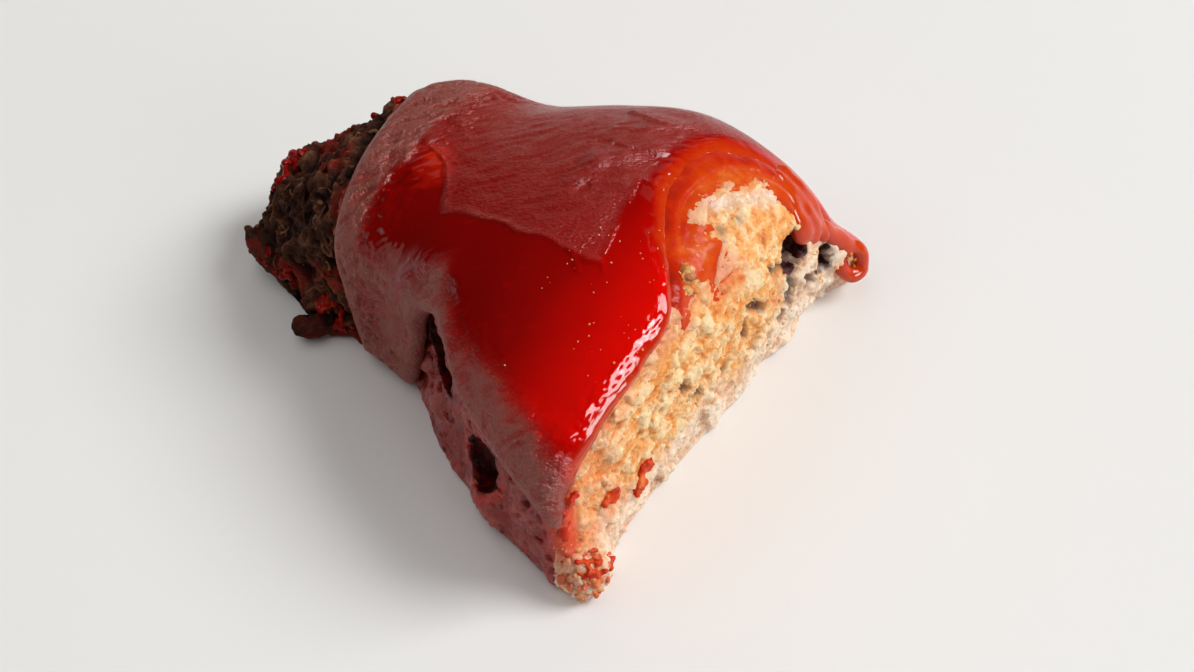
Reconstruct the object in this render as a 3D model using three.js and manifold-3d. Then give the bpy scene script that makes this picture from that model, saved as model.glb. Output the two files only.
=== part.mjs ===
// Heel of a free-form meatloaf with a ketchup glaze, as two closed solids.
//
// Millimetres, +Z up.  +X points out of the knife's cut, -X to the browned
// end.  The loaf is a row of upright sections along X.  Each section is an
// arch from the front foot (-Y) over the crown to the back foot (+Y), and v
// runs along it from 0 to 1 by arc length.  The glaze is laid on the same
// sections, so it follows the meat with an even gap.  Sizes are written with
// X measured from a point near the loaf's middle; SHIFT centres the result.

import * as THREE from "three";
import Module from "manifold-3d";
import { mergeVertices } from "three/addons/utils/BufferGeometryUtils.js";

// ---------------------------------------------------------------- sizes

// The loaf, section by section: how far the foot reaches to the front and
// the back, the height of the crown, where the ridge line runs and how far
// the front wall leans in above its foot.
const STATIONS = [
  { x: 37, front: -58, back: 41, height: 46.5, ridge: -8, lean: 0 },
  { x: 22, front: -56.5, back: 45, height: 49, ridge: -1, lean: 1 },
  { x: 5, front: -52, back: 46, height: 50.5, ridge: -1, lean: 4 },
  { x: -10, front: -46.5, back: 40, height: 48.5, ridge: -5, lean: 6 },
  { x: -24, front: -37.5, back: 30.5, height: 46, ridge: -9, lean: 4 },
  { x: -42, front: -36, back: 24, height: 43, ridge: -11, lean: 2 },
  { x: -56, front: -37, back: 20, height: 38, ridge: -12, lean: 4 },
  { x: -70, front: -34, back: 6, height: 25.5, ridge: -14, lean: 3 },
  { x: -80, front: -29, back: -4, height: 16, ridge: -16, lean: 2 },
];
const CUT_X = 37;
const END_X = -83;
const END_ROUND = 14;
const END_FLAT = 0.35;
const DOME_RISE = 0.22;
const FRONT_SQUARENESS = 4.6;
const BACK_SQUARENESS = 3;
const BACK_LEAN = 4;
const LEAN_HEIGHT = 22;

// The broken shoulder, where the top of the cut has crumbled away: its
// middle, its reach to each side, its depth and the heights it fades over.
// On the cut it starts at a share of the way from the middle to the rim.
const SHOULDER = { y: 11, frontReach: 20.5, backReach: 23, depth: 20.5, low: 14, high: 30 };
const SHOULDER_START = 0.42;

// The glaze: its edge over the browned end (x by v), and its lower edges at
// the front and the back (z by x).
const GLAZE_END = [
  { v: 0, x: -38.5 },
  { v: 0.13, x: -42 },
  { v: 0.32, x: -45 },
  { v: 0.46, x: -49 },
  { v: 0.6, x: -52.5 },
  { v: 0.8, x: -52.5 },
  { v: 1, x: -48 },
];
const GLAZE_FRONT = [
  { x: 37, z: 23 },
  { x: 22, z: 28 },
  { x: 5, z: 31 },
  { x: -5, z: 34.5 },
  { x: -12, z: 35.5 },
  { x: -18, z: 30 },
  { x: -25, z: 12 },
  { x: -31, z: 2 },
  { x: -46, z: 1.8 },
];
const GLAZE_BACK = [
  { x: 37, z: 5 },
  { x: 28, z: 9 },
  { x: 17, z: 13.5 },
  { x: 3, z: 7.5 },
  { x: -9, z: 12 },
  { x: -24, z: 8 },
  { x: -36, z: 13 },
  { x: -50, z: 9 },
];
const GLAZE_END_X = -49;

// Glaze thickness on top, in the fold along the front and at the rim, how
// far the rim is rounded, and the gap to the meat.
const GLAZE = { top: 3, fold: 4.8, rim: 1, lip: 4, gap: 0.3 };
const FOLD = { z: 33, spread: 8, startY: -20, fullY: -34 };

// Lumps that stand out of the loaf: centre, spread and how far each one
// pushes the surface.
const LUMPS = [
  { at: [38, -53.5, 4.5], spread: 5, push: [7, -0.5, 1] },
  { at: [30, -57, 4], spread: 4, push: [0, -1.5, 0] },
  { at: [12, -53.5, 7], spread: 4.5, push: [0, -3.5, 0] },
  { at: [36, 41, 7], spread: 5, push: [3.5, 3.5, 0.5] },
  { at: [37, 30, 1], spread: 5, push: [-4.5, 0, 0] },
  { at: [37, 21, 3], spread: 2.6, push: [3, 0, 0] },
  { at: [37, 14, 0], spread: 5, push: [-3, 0, 0] },
  { at: [37, -18, 0], spread: 13, push: [-0.8, 0, 0] },
  { at: [-54, -38, 4], spread: 3, push: [0, -6, -0.5] },
  { at: [-74, -28.5, 7], spread: 4, push: [-3.5, -3, -0.5] },
  { at: [-79, -18, 16], spread: 4, push: [-3, 0, 2.5] },
  { at: [-77, -10, 18], spread: 4, push: [-2, 1.5, 3] },
  { at: [-55, 1, 38], spread: 2.6, push: [-1, 1.5, 2.5] },
  { at: [-43, 8, 40], spread: 7, push: [0, 2.5, 1.2] },
];

// Hollows in the crumb and in the side: centre, half axes and the turn of
// the long axis in the XZ plane.
const HOLLOWS = [
  { at: [34, 22.5, 27.5], half: [8, 4.6, 4.6], turn: 0 },
  { at: [36, 32.5, 16], half: [7, 3, 3.6], turn: 0 },
  { at: [-10, -39, 24.5], half: [10.5, 7.5, 6], turn: 0.62 },
  { at: [9.5, -52, 16], half: [6.6, 6, 6.2], turn: 0 },
];

// The rough surface: wavelength and height of the lumps of each kind.
const CRUST = { pitch: 8, height: 0.7 };
const CRAG = { pitch: 5.2, height: 1.5 };
const CRUMB = { pitch: 7, height: 0.9 };

// How finely the solids are divided.
const ROWS_GLAZED = 26;
const ROWS_BARE = 10;
const COLUMNS_FRONT = 6;
const COLUMNS_GLAZED = 44;
const COLUMNS_BACK = 4;
const COLUMNS_BASE = 10;
const CUT_RINGS = [0.95, 0.87, 0.78, 0.68, 0.56, 0.42, 0.24];
const CUT_CENTRE = { y: -8, z: 20 };
const ARC_SAMPLES = 160;
const NORMAL_STEP = { x: 1.5, v: 0.012 };

// The shares between which the glazed columns are spread evenly.
const MEAN_LOW = 0.13;
const MEAN_HIGH = 0.93;

// Moves the middle of the finished box to the origin.
const SHIFT = { x: 20.1, y: 6.26 };

const COLOURS = { meat: 0xc98a4e, glaze: 0xa51410 };

// --------------------------------------------------------------- helpers

const clamp = (value, low, high) => Math.min(Math.max(value, low), high);
const mix = (a, b, t) => a + (b - a) * t;
const smooth = (low, high, value) => {
  const t = clamp((value - low) / (high - low), 0, 1);
  return t * t * (3 - 2 * t);
};

// A smooth curve through a list of rows, read at one place along it.
function readRows(rows, along, field, place) {
  const rising = rows[rows.length - 1][along] > rows[0][along];
  const list = rising ? rows : [...rows].reverse();
  const slope = (k) => {
    const before = list[Math.max(k - 1, 0)];
    const after = list[Math.min(k + 1, list.length - 1)];
    return (after[field] - before[field]) / (after[along] - before[along]);
  };
  let k = 0;
  while (k < list.length - 2 && place > list[k + 1][along]) {
    k += 1;
  }
  const span = list[k + 1][along] - list[k][along];
  const t = clamp((place - list[k][along]) / span, 0, 1);
  const ease = t * t * (3 - 2 * t);
  const lift = t * (1 - t) * span;
  return mix(list[k][field], list[k + 1][field], ease)
    + lift * ((1 - t) * slope(k) - t * slope(k + 1));
}

// Three crossed waves stand in for the coarse grain of minced meat.
function grain(x, y, z, pitch) {
  const k = (2 * Math.PI) / pitch;
  const wave = Math.sin(k * x + 1.7 * Math.sin(k * 0.43 * y + 1.1))
    + Math.sin(k * 0.9 * y + 1.5 * Math.sin(k * 0.51 * z + 2.3))
    + Math.sin(k * 1.1 * z + 1.6 * Math.sin(k * 0.37 * x + 0.4));
  return wave / 3;
}

// ------------------------------------------------------------ loaf surface

// How much a section has shrunk in the rounded browned end: 1 before it.
function endScale(x) {
  const depth = clamp((END_X + END_ROUND - x) / END_ROUND, 0, 1);
  return Math.sqrt(1 - depth * depth);
}

// One section as a fine list of [y, z], from the front foot to the back.
function sectionCurve(x) {
  const front = readRows(STATIONS, "x", "front", x);
  const back = readRows(STATIONS, "x", "back", x);
  const height = readRows(STATIONS, "x", "height", x);
  const ridge = readRows(STATIONS, "x", "ridge", x);
  const lean = readRows(STATIONS, "x", "lean", x);
  const scale = mix(END_FLAT, 1, endScale(x));
  const points = [];
  for (let k = 0; k <= ARC_SAMPLES; k += 1) {
    const angle = (Math.PI * k) / ARC_SAMPLES;
    const side = Math.cos(angle);
    const power = 2 / (side > 0 ? FRONT_SQUARENESS : BACK_SQUARENESS);
    const reach = Math.sign(side) * Math.abs(side) ** power;
    const wall = Math.abs(Math.sin(angle)) ** power;
    const z = height * ((1 - DOME_RISE) * wall + DOME_RISE * (1 - reach * reach));
    const inward = reach > 0 ? lean : BACK_LEAN;
    const drawn = inward * clamp(z / LEAN_HEIGHT, 0, 1) * Math.abs(reach) ** 3;
    const width = reach > 0 ? ridge - front - drawn : back - ridge - drawn;
    points.push([ridge - reach * width * scale, z * scale]);
  }
  points[0][1] = 0;
  points[ARC_SAMPLES][1] = 0;
  return points;
}

const curveCache = new Map();
function sectionWithLengths(x) {
  const key = Math.round(x * 100);
  if (!curveCache.has(key)) {
    const points = sectionCurve(x);
    const lengths = [0];
    for (let k = 1; k < points.length; k += 1) {
      const dy = points[k][0] - points[k - 1][0];
      const dz = points[k][1] - points[k - 1][1];
      lengths.push(lengths[k - 1] + Math.hypot(dy, dz));
    }
    curveCache.set(key, { points, lengths });
  }
  return curveCache.get(key);
}

// The plain section at x, read at the share v of its length.
function sectionPoint(x, v) {
  const { points, lengths } = sectionWithLengths(x);
  const target = v * lengths[ARC_SAMPLES];
  let low = 0;
  let high = ARC_SAMPLES;
  while (high - low > 1) {
    const middle = (low + high) >> 1;
    if (lengths[middle] <= target) {
      low = middle;
    } else {
      high = middle;
    }
  }
  const t = (target - lengths[low]) / (lengths[high] - lengths[low]);
  return [mix(points[low][0], points[high][0], t), mix(points[low][1], points[high][1], t)];
}

// The share v at which the front (or the back) of a section reaches z.
function shareAtHeight(x, z, fromBack) {
  const { points, lengths } = sectionWithLengths(x);
  for (let k = 1; k <= ARC_SAMPLES; k += 1) {
    const here = fromBack ? ARC_SAMPLES - k : k;
    const last = fromBack ? here + 1 : k - 1;
    if (points[here][1] >= z) {
      const t = (z - points[last][1]) / (points[here][1] - points[last][1]);
      return mix(lengths[last], lengths[here], t) / lengths[ARC_SAMPLES];
    }
  }
  return 0.5;
}

// Pushes a point out wherever a lump stands near it; the foot stays flat.
function pushLumps(point) {
  const start = point.clone();
  for (const lump of LUMPS) {
    const centre = new THREE.Vector3(...lump.at);
    const near = Math.exp(-start.distanceToSquared(centre) / (2 * lump.spread ** 2));
    point.addScaledVector(new THREE.Vector3(...lump.push), near);
  }
  point.z = start.z < 0.01 ? 0 : Math.max(point.z, 0.4);
  return point;
}

// Where the line at share v starts: at the cut, or behind the shoulder.
function cutStart(v) {
  const [y, z] = sectionPoint(CUT_X - SHOULDER.depth / 2, v);
  const reach = y < SHOULDER.y ? SHOULDER.frontReach : SHOULDER.backReach;
  const across = Math.abs((y - SHOULDER.y) / reach) ** 3;
  return CUT_X - SHOULDER.depth * Math.exp(-across) * smooth(SHOULDER.low, SHOULDER.high, z);
}

// The cut between its middle (share 0) and a rim point at x = rimX.
function cutPlane(rimX, share) {
  const rise = clamp((share - SHOULDER_START) / (1 - SHOULDER_START), 0, 1);
  return mix(CUT_X, rimX, 1 - Math.sqrt(1 - rise * rise));
}

const glazeEnd = (v) => readRows(GLAZE_END, "v", "x", v);

// The plain surface of the loaf at section x and share v.
function plainPoint(x, v) {
  const [y, z] = sectionPoint(x, v);
  return new THREE.Vector3(x, y, z);
}

// The outward direction of a surface, pointAt(x, v), at one of its points.
function outward(pointAt, x, v) {
  const ahead = pointAt(Math.max(x - NORMAL_STEP.x, END_X), v);
  const behind = pointAt(Math.min(x + NORMAL_STEP.x, CUT_X), v);
  const up = pointAt(x, Math.min(v + NORMAL_STEP.v, 1));
  const down = pointAt(x, Math.max(v - NORMAL_STEP.v, 0));
  return up.sub(down).cross(ahead.sub(behind)).normalize();
}

// How rough the surface is: smooth under the glaze, crusty below its edges
// and craggy on the browned end.
function roughHeight(x, v, z) {
  const bare = smooth(2, 10, glazeEnd(v) - x);
  const edge = glazeLowShare(Math.max(x, GLAZE_END_X));
  const depth = v > 0.5 ? (1 - v) / (1 - MEAN_HIGH) : v / edge;
  const below = 1 - smooth(0.8, 1, depth);
  const ends = smooth(0, 4, CUT_X - x) * smooth(0, 5, x - END_X);
  return mix(CRUST.height * below, CRAG.height, bare) * ends * smooth(0, 3, z);
}

// The surface of the meat at section x and share v.
function loafPoint(x, v) {
  const point = plainPoint(x, v);
  const { y, z } = point;
  const pitch = glazeEnd(v) - x > 4 ? CRAG.pitch : CRUST.pitch;
  const rough = roughHeight(x, v, z) * grain(x, y, z, pitch);
  point.addScaledVector(outward(plainPoint, x, v), rough);
  return pushLumps(point);
}

// ----------------------------------------------------------------- grid

// A share of 0 to 1 with short steps at both ends, for the glaze's rims.
function easedStep(k, count) {
  const t = k / count;
  return mix(t, 0.5 - 0.5 * Math.cos(Math.PI * t), 0.75);
}

function glazeLowShare(x) {
  return shareAtHeight(x, readRows(GLAZE_FRONT, "x", "z", x), false);
}

function glazeHighShare(x) {
  return shareAtHeight(x, readRows(GLAZE_BACK, "x", "z", x), true);
}

// Share v of column j in the row that lies about at x, a share past of the
// way from the glaze to the far end.  The glaze's edges wander, and only the
// columns near them follow.
function columnShare(j, x, past) {
  const low = mix(glazeLowShare(x), MEAN_LOW, past);
  const high = mix(glazeHighShare(x), MEAN_HIGH, past);
  if (j <= COLUMNS_FRONT) {
    return (low * j) / COLUMNS_FRONT;
  }
  if (j <= COLUMNS_FRONT + COLUMNS_GLAZED) {
    const t = easedStep(j - COLUMNS_FRONT, COLUMNS_GLAZED);
    const even = mix(MEAN_LOW, MEAN_HIGH, t);
    return even + (low - MEAN_LOW) * (1 - t) ** 4 + (high - MEAN_HIGH) * t ** 4;
  }
  return mix(high, 1, (j - COLUMNS_FRONT - COLUMNS_GLAZED) / COLUMNS_BACK);
}

const COLUMNS = COLUMNS_FRONT + COLUMNS_GLAZED + COLUMNS_BACK;
const ROWS = ROWS_GLAZED + ROWS_BARE;

// Section x and share v of every grid point, row by row from the cut.
function makeGrid() {
  const grid = [];
  for (let i = 0; i <= ROWS; i += 1) {
    const glazed = Math.min(i / ROWS_GLAZED, 1);
    const along = easedStep(glazed * ROWS_GLAZED, ROWS_GLAZED);
    const past = Math.sin((Math.PI / 2) * Math.max((i - ROWS_GLAZED) / ROWS_BARE, 0));
    const roughX = mix(CUT_X, GLAZE_END_X, along);
    const row = [];
    for (let j = 0; j <= COLUMNS; j += 1) {
      const v = columnShare(j, roughX, Math.min(past * 1.5, 1));
      const edge = glazeEnd(v);
      const x = i <= ROWS_GLAZED ? mix(cutStart(v), edge, along) : mix(edge, END_X, past);
      row.push({ x, v });
    }
    grid.push(row);
  }
  return grid;
}

// ---------------------------------------------------------------- solids

function closedGeometry(points, faces) {
  const geometry = new THREE.BufferGeometry();
  const flat = new Float32Array(points.flatMap((p) => [p.x, p.y, p.z]));
  geometry.setAttribute("position", new THREE.BufferAttribute(flat, 3));
  geometry.setIndex(faces);
  return geometry;
}

function quad(faces, a, b, c, d) {
  faces.push(a, c, b, a, d, c);
}

// The meat: arch and base rows, a crumbly cut and a rounded browned end.
function meatGeometry(grid) {
  const points = [];
  const faces = [];
  const ringSize = COLUMNS + COLUMNS_BASE;
  for (const row of grid) {
    points.push(...row.map(({ x, v }) => loafPoint(x, v)));
    const backFoot = plainPoint(row[COLUMNS].x, 1);
    const frontFoot = plainPoint(row[0].x, 0);
    for (let k = 1; k < COLUMNS_BASE; k += 1) {
      points.push(pushLumps(backFoot.clone().lerp(frontFoot, k / COLUMNS_BASE)));
    }
  }
  for (let i = 0; i < ROWS; i += 1) {
    for (let j = 0; j < ringSize; j += 1) {
      const next = (j + 1) % ringSize;
      quad(faces, i * ringSize + j, (i + 1) * ringSize + j,
        (i + 1) * ringSize + next, i * ringSize + next);
    }
  }
  const baseStart = new Array(COLUMNS_BASE - 1).fill(CUT_X);
  addCut(points, faces, ringSize, [...grid[0].map(({ x }) => x), ...baseStart]);
  addEnd(points, faces, ringSize);
  return closedGeometry(points, faces);
}

// Joins two rings of points; the inner one has as many points or half.
function joinRings(faces, outer, outerCount, inner, innerCount) {
  const step = outerCount / innerCount;
  for (let j = 0; j < innerCount; j += 1) {
    const a = outer + j * step;
    const b = outer + ((j * step + step) % outerCount);
    const c = inner + ((j + 1) % innerCount);
    const d = inner + j;
    if (step === 2) {
      faces.push(d, a + 1, a, d, c, a + 1, c, b, a + 1);
    } else {
      quad(faces, a, b, c, d);
    }
  }
}

// The cut, as rings that shrink towards its middle.
function addCut(points, faces, ringSize, rimStart) {
  let outer = 0;
  let outerCount = ringSize;
  CUT_RINGS.forEach((share, ring) => {
    const inner = points.length;
    const count = ring > 0 && ring % 2 === 0 ? outerCount / 2 : outerCount;
    for (let j = 0; j < count; j += 1) {
      const rim = points[(j * ringSize) / count];
      const y = mix(CUT_CENTRE.y, rim.y, share);
      const z = mix(CUT_CENTRE.z, rim.z, share);
      const relief = CRUMB.height * grain(3, y, z, CRUMB.pitch) * smooth(0, 0.2, 1 - share);
      const plainX = cutPlane(rimStart[(j * ringSize) / count], share);
      points.push(pushLumps(new THREE.Vector3(plainX + relief, y, z)));
    }
    joinRings(faces, outer, outerCount, inner, count);
    outer = inner;
    outerCount = count;
  });
  const middle = points.length;
  points.push(new THREE.Vector3(CUT_X, CUT_CENTRE.y, CUT_CENTRE.z));
  for (let j = 0; j < outerCount; j += 1) {
    faces.push(outer + j, middle, outer + ((j + 1) % outerCount));
  }
}

// The browned end, closed on one point.
function addEnd(points, faces, ringSize) {
  const first = ROWS * ringSize;
  const middle = new THREE.Vector3();
  for (let j = 0; j < ringSize; j += 1) {
    middle.add(points[first + j]);
  }
  middle.divideScalar(ringSize);
  middle.x -= 0.8;
  points.push(middle);
  for (let j = 0; j < ringSize; j += 1) {
    faces.push(first + j, first + ((j + 1) % ringSize), points.length - 1);
  }
}

// Thickness of the glaze, thickest in the fold along the front.
function glazeThickness(point, rimDistance) {
  const fold = Math.exp(-(((point.z - FOLD.z) / FOLD.spread) ** 2));
  const front = 1 - smooth(FOLD.fullY, FOLD.startY, point.y);
  const full = mix(GLAZE.top, GLAZE.fold, fold * front);
  const inside = clamp(rimDistance / GLAZE.lip, 0, 1);
  return mix(GLAZE.rim, full, Math.sqrt(1 - (1 - inside) ** 2));
}

// The glaze, as an outer and an inner sheet joined by a rim all round.
function glazeGeometry(grid) {
  const firstColumn = COLUMNS_FRONT;
  const width = COLUMNS_GLAZED + 1;
  const height = ROWS_GLAZED + 1;
  const base = [];
  const normals = [];
  for (let i = 0; i < height; i += 1) {
    for (let j = 0; j < width; j += 1) {
      const { x, v } = grid[i][firstColumn + j];
      base.push(loafPoint(x, v));
      normals.push(outward(loafPoint, x, v));
    }
  }
  const at = (i, j) => i * width + j;
  const outer = [];
  for (let i = 0; i < height; i += 1) {
    for (let j = 0; j < width; j += 1) {
      const here = base[at(i, j)];
      const rim = Math.min(
        here.distanceTo(base[at(0, j)]) + 1.2,
        here.distanceTo(base[at(height - 1, j)]),
        here.distanceTo(base[at(i, 0)]),
        here.distanceTo(base[at(i, width - 1)]),
      );
      const thick = glazeThickness(here, rim) + GLAZE.gap;
      outer.push(here.clone().addScaledVector(normals[at(i, j)], thick));
    }
  }
  const inner = base.map((p, k) => p.clone().addScaledVector(normals[k], GLAZE.gap));
  const points = [...outer, ...inner];
  const below = outer.length;
  const faces = [];
  for (let i = 0; i + 1 < height; i += 1) {
    for (let j = 0; j + 1 < width; j += 1) {
      const corners = [at(i, j), at(i + 1, j), at(i + 1, j + 1), at(i, j + 1)];
      quad(faces, ...corners);
      const [a, b, c, d] = corners.map((k) => k + below);
      faces.push(a, b, c, a, c, d);
    }
  }
  const rimLoop = [];
  for (let i = 0; i + 1 < height; i += 1) {
    rimLoop.push(at(i, 0));
  }
  for (let j = 0; j + 1 < width; j += 1) {
    rimLoop.push(at(height - 1, j));
  }
  for (let i = height - 1; i > 0; i -= 1) {
    rimLoop.push(at(i, width - 1));
  }
  for (let j = width - 1; j > 0; j -= 1) {
    rimLoop.push(at(0, j));
  }
  rimLoop.forEach((a, k) => {
    const b = rimLoop[(k + 1) % rimLoop.length];
    quad(faces, b, a, a + below, b + below);
  });
  return closedGeometry(points, faces);
}

// A hollow's own shape: a lumpy ball stretched to its half axes.
function hollowGeometry({ at, half, turn }) {
  const ball = new THREE.IcosahedronGeometry(1, 2);
  ball.deleteAttribute("normal");
  ball.deleteAttribute("uv");
  const merged = mergeVertices(ball, 1e-4);
  merged.scale(...half);
  merged.rotateY(turn);
  merged.translate(...at);
  return merged;
}

// ------------------------------------------------------- cutting with solids

const wasm = await Module();
wasm.setup();

function toSolid(geometry) {
  const vertProperties = new Float32Array(geometry.attributes.position.array);
  const triVerts = new Uint32Array(geometry.index.array);
  return new wasm.Manifold(new wasm.Mesh({ numProp: 3, vertProperties, triVerts }));
}

function toGeometry(solid) {
  const mesh = solid.getMesh();
  const geometry = new THREE.BufferGeometry();
  geometry.setAttribute("position", new THREE.BufferAttribute(mesh.vertProperties, 3));
  geometry.setIndex(new THREE.BufferAttribute(mesh.triVerts, 1));
  return geometry;
}

function withHollows(geometry) {
  let solid = toSolid(geometry);
  for (const hollow of HOLLOWS) {
    solid = solid.subtract(toSolid(hollowGeometry(hollow)));
  }
  return toGeometry(solid);
}

// ----------------------------------------------------------------- model

function addMesh(group, name, geometry, colour, roughness) {
  const material = new THREE.MeshStandardMaterial({ color: colour, roughness, metalness: 0 });
  const mesh = new THREE.Mesh(geometry, material);
  mesh.name = name;
  mesh.position.set(SHIFT.x, SHIFT.y, 0);
  group.add(mesh);
}

const grid = makeGrid();
const group = new THREE.Group();
addMesh(group, "meat", withHollows(meatGeometry(grid)), COLOURS.meat, 0.85);
addMesh(group, "ketchup_glaze", glazeGeometry(grid), COLOURS.glaze, 0.25);

export default group;
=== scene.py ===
"""Heel of a free-form meatloaf with a baked ketchup glaze.

The loaf is a row of upright sections along X, as it was shaped by hand.  Each
section is an arch from the front foot (-Y) over the crown to the back foot
(+Y), and v runs along it from 0 to 1.  +X points out of the knife's cut and
-X to the browned end.  Sizes are in millimetres in the loaf's own frame;
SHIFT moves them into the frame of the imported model.
"""

import math
from functools import partial
from itertools import product

import bmesh
import bpy
import numpy as np
from mathutils import Matrix, Vector
from mathutils.kdtree import KDTree


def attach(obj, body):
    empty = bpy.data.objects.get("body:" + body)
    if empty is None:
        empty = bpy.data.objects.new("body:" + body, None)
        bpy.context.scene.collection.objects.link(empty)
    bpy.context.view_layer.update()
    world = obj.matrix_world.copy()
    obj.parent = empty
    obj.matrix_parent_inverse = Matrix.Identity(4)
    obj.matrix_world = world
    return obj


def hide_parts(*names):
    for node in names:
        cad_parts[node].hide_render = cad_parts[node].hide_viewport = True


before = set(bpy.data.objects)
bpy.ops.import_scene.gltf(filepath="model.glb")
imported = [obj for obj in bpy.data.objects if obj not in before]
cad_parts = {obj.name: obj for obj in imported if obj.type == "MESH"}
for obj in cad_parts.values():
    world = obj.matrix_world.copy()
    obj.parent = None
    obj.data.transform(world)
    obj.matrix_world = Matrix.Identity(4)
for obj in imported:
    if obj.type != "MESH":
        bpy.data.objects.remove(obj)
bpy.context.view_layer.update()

MM = 0.001
SHIFT = np.array([20.1, 6.26, 0.0])

# ------------------------------------------------------------ loaf's sizes

# Section by section: x, reach of the front and the back foot, height of the
# crown, place of the ridge line, and how far the front wall leans in.
STATIONS = np.array([
    [-80, -29, -4, 16, -16, 2],
    [-70, -34, 6, 25.5, -14, 3],
    [-56, -37, 20, 38, -12, 4],
    [-42, -36, 24, 43, -11, 2],
    [-24, -37.5, 30.5, 46, -9, 4],
    [-10, -46.5, 40, 48.5, -5, 6],
    [5, -52, 46, 50.5, -1, 4],
    [22, -56.5, 45, 49, -1, 1],
    [37, -58, 41, 46.5, -8, 0],
], float)
CUT_X, END_X = 37.0, -83.0
END_ROUND, END_FLAT = 14.0, 0.35
DOME_RISE = 0.22
FRONT_SQUARENESS, BACK_SQUARENESS = 4.6, 3.0
BACK_LEAN, LEAN_HEIGHT = 4.0, 22.0

# The broken shoulder over the cut: middle, reach to each side, depth, and
# the heights over which it fades.
SHOULDER = {"y": 11, "front": 20.5, "back": 23, "depth": 20.5, "low": 14, "high": 30}

# The glaze's edge over the browned end (v, x), and along the front and the
# back (x, z).
GLAZE_END = np.array([
    [0, -38.5], [0.13, -42], [0.32, -45], [0.46, -49], [0.6, -52.5], [0.8, -52.5], [1, -48],
])
GLAZE_FRONT = np.array([
    [-46, 1.8], [-31, 2], [-25, 12], [-18, 30], [-12, 35.5], [-5, 34.5], [5, 31], [22, 28], [37, 23],
])
GLAZE_BACK = np.array([
    [-50, 9], [-36, 13], [-24, 8], [-9, 12], [3, 7.5], [17, 13.5], [28, 9], [37, 5],
])
GLAZE_END_X = -49.0
GLAZE = {"top": 3.0, "fold": 4.8, "rim": 1.0, "lip": 4.0, "gap": 0.3}
FOLD = {"z": 33, "spread": 8, "start_y": -20, "full_y": -34}
MEAN_LOW, MEAN_HIGH = 0.13, 0.93

# Lumps and dents of the loaf: centre, spread and push.
LUMPS = [
    ((38, -53.5, 4.5), 5, (7, -0.5, 1)),
    ((30, -57, 4), 4, (0, -1.5, 0)),
    ((12, -53.5, 7), 4.5, (0, -3.5, 0)),
    ((36, 41, 7), 5, (3.5, 3.5, 0.5)),
    ((37, 30, 1), 5, (-4.5, 0, 0)),
    ((37, 21, 3), 2.6, (3, 0, 0)),
    ((37, 14, 0), 5, (-3, 0, 0)),
    ((37, -18, 0), 13, (-0.8, 0, 0)),
    ((-54, -38, 4), 3, (0, -6, -0.5)),
    ((-74, -28.5, 7), 4, (-3.5, -3, -0.5)),
    ((-79, -18, 16), 4, (-3, 0, 2.5)),
    ((-77, -10, 18), 4, (-2, 1.5, 3)),
    ((-55, 1, 38), 2.6, (-1, 1.5, 2.5)),
    ((-43, 8, 40), 7, (0, 2.5, 1.2)),
]

# Hollows: centre, half axes and the turn of the long axis in the XZ plane.
HOLLOWS = [
    ((34, 22.5, 27.5), (8, 4.6, 4.6), 0),
    ((36, 32.5, 16), (7, 3, 3.6), 0),
    ((-10, -39, 24.5), (10.5, 7.5, 6), 0.62),
    ((9.5, -52, 16), (6.6, 6, 6.2), 0),
]

# ------------------------------------------------------------- arithmetic


def mix(a, b, t):
    return a + (b - a) * t


def smooth(low, high, value):
    t = np.clip((value - low) / (high - low), 0, 1)
    return t * t * (3 - 2 * t)


def unit(vectors):
    return vectors / np.maximum(np.linalg.norm(vectors, axis=-1, keepdims=True), 1e-12)


def read_rows(places, values, place):
    """A smooth curve through a list of rows, read at each place."""
    last = len(places) - 1
    rows = np.arange(last + 1)
    before, after = np.maximum(rows - 1, 0), np.minimum(rows + 1, last)
    slope = (values[after] - values[before]) / (places[after] - places[before])
    k = np.clip(np.searchsorted(places, place) - 1, 0, last - 1)
    span = places[k + 1] - places[k]
    t = np.clip((place - places[k]) / span, 0, 1)
    lift = t * (1 - t) * span * ((1 - t) * slope[k] - t * slope[k + 1])
    return mix(values[k], values[k + 1], t * t * (3 - 2 * t)) + lift


def hashed(cell, seed):
    """An even scatter of numbers from 0 to 1, one for each whole-number cell."""
    code = cell[..., 0] * 73856093 ^ cell[..., 1] * 19349663 ^ cell[..., 2] * 83492791
    code = (code ^ seed * 374761393) & 0xFFFFFFFF
    for _ in range(2):
        code = ((code ^ code >> 16) * 0x45D9F3B) & 0xFFFFFFFF
    return (code ^ code >> 16) / 0xFFFFFFFF


def noise(points, pitch, seed):
    """Soft lumps of one size, from -1 to 1."""
    place = points / pitch
    cell = np.floor(place).astype(np.int64)
    part = place - cell
    part = part * part * (3 - 2 * part)
    total = 0
    for corner in product((0, 1), repeat=3):
        weight = np.prod(np.where(corner, part, 1 - part), axis=-1)
        total = total + weight * hashed(cell + np.array(corner), seed)
    return 2 * total - 1


def fractal(points, pitch, seed, layers=3):
    total = sum(noise(points, pitch / 2 ** k, seed + k) / 2 ** k for k in range(layers))
    return total / (2 - 0.5 ** (layers - 1))


def bend(points, pitch, reach, seed):
    """The places pushed about by soft noise, so that a pattern read there isn't regular."""
    return points + reach * np.stack([noise(points, pitch, seed + k) for k in range(3)], axis=-1)


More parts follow.
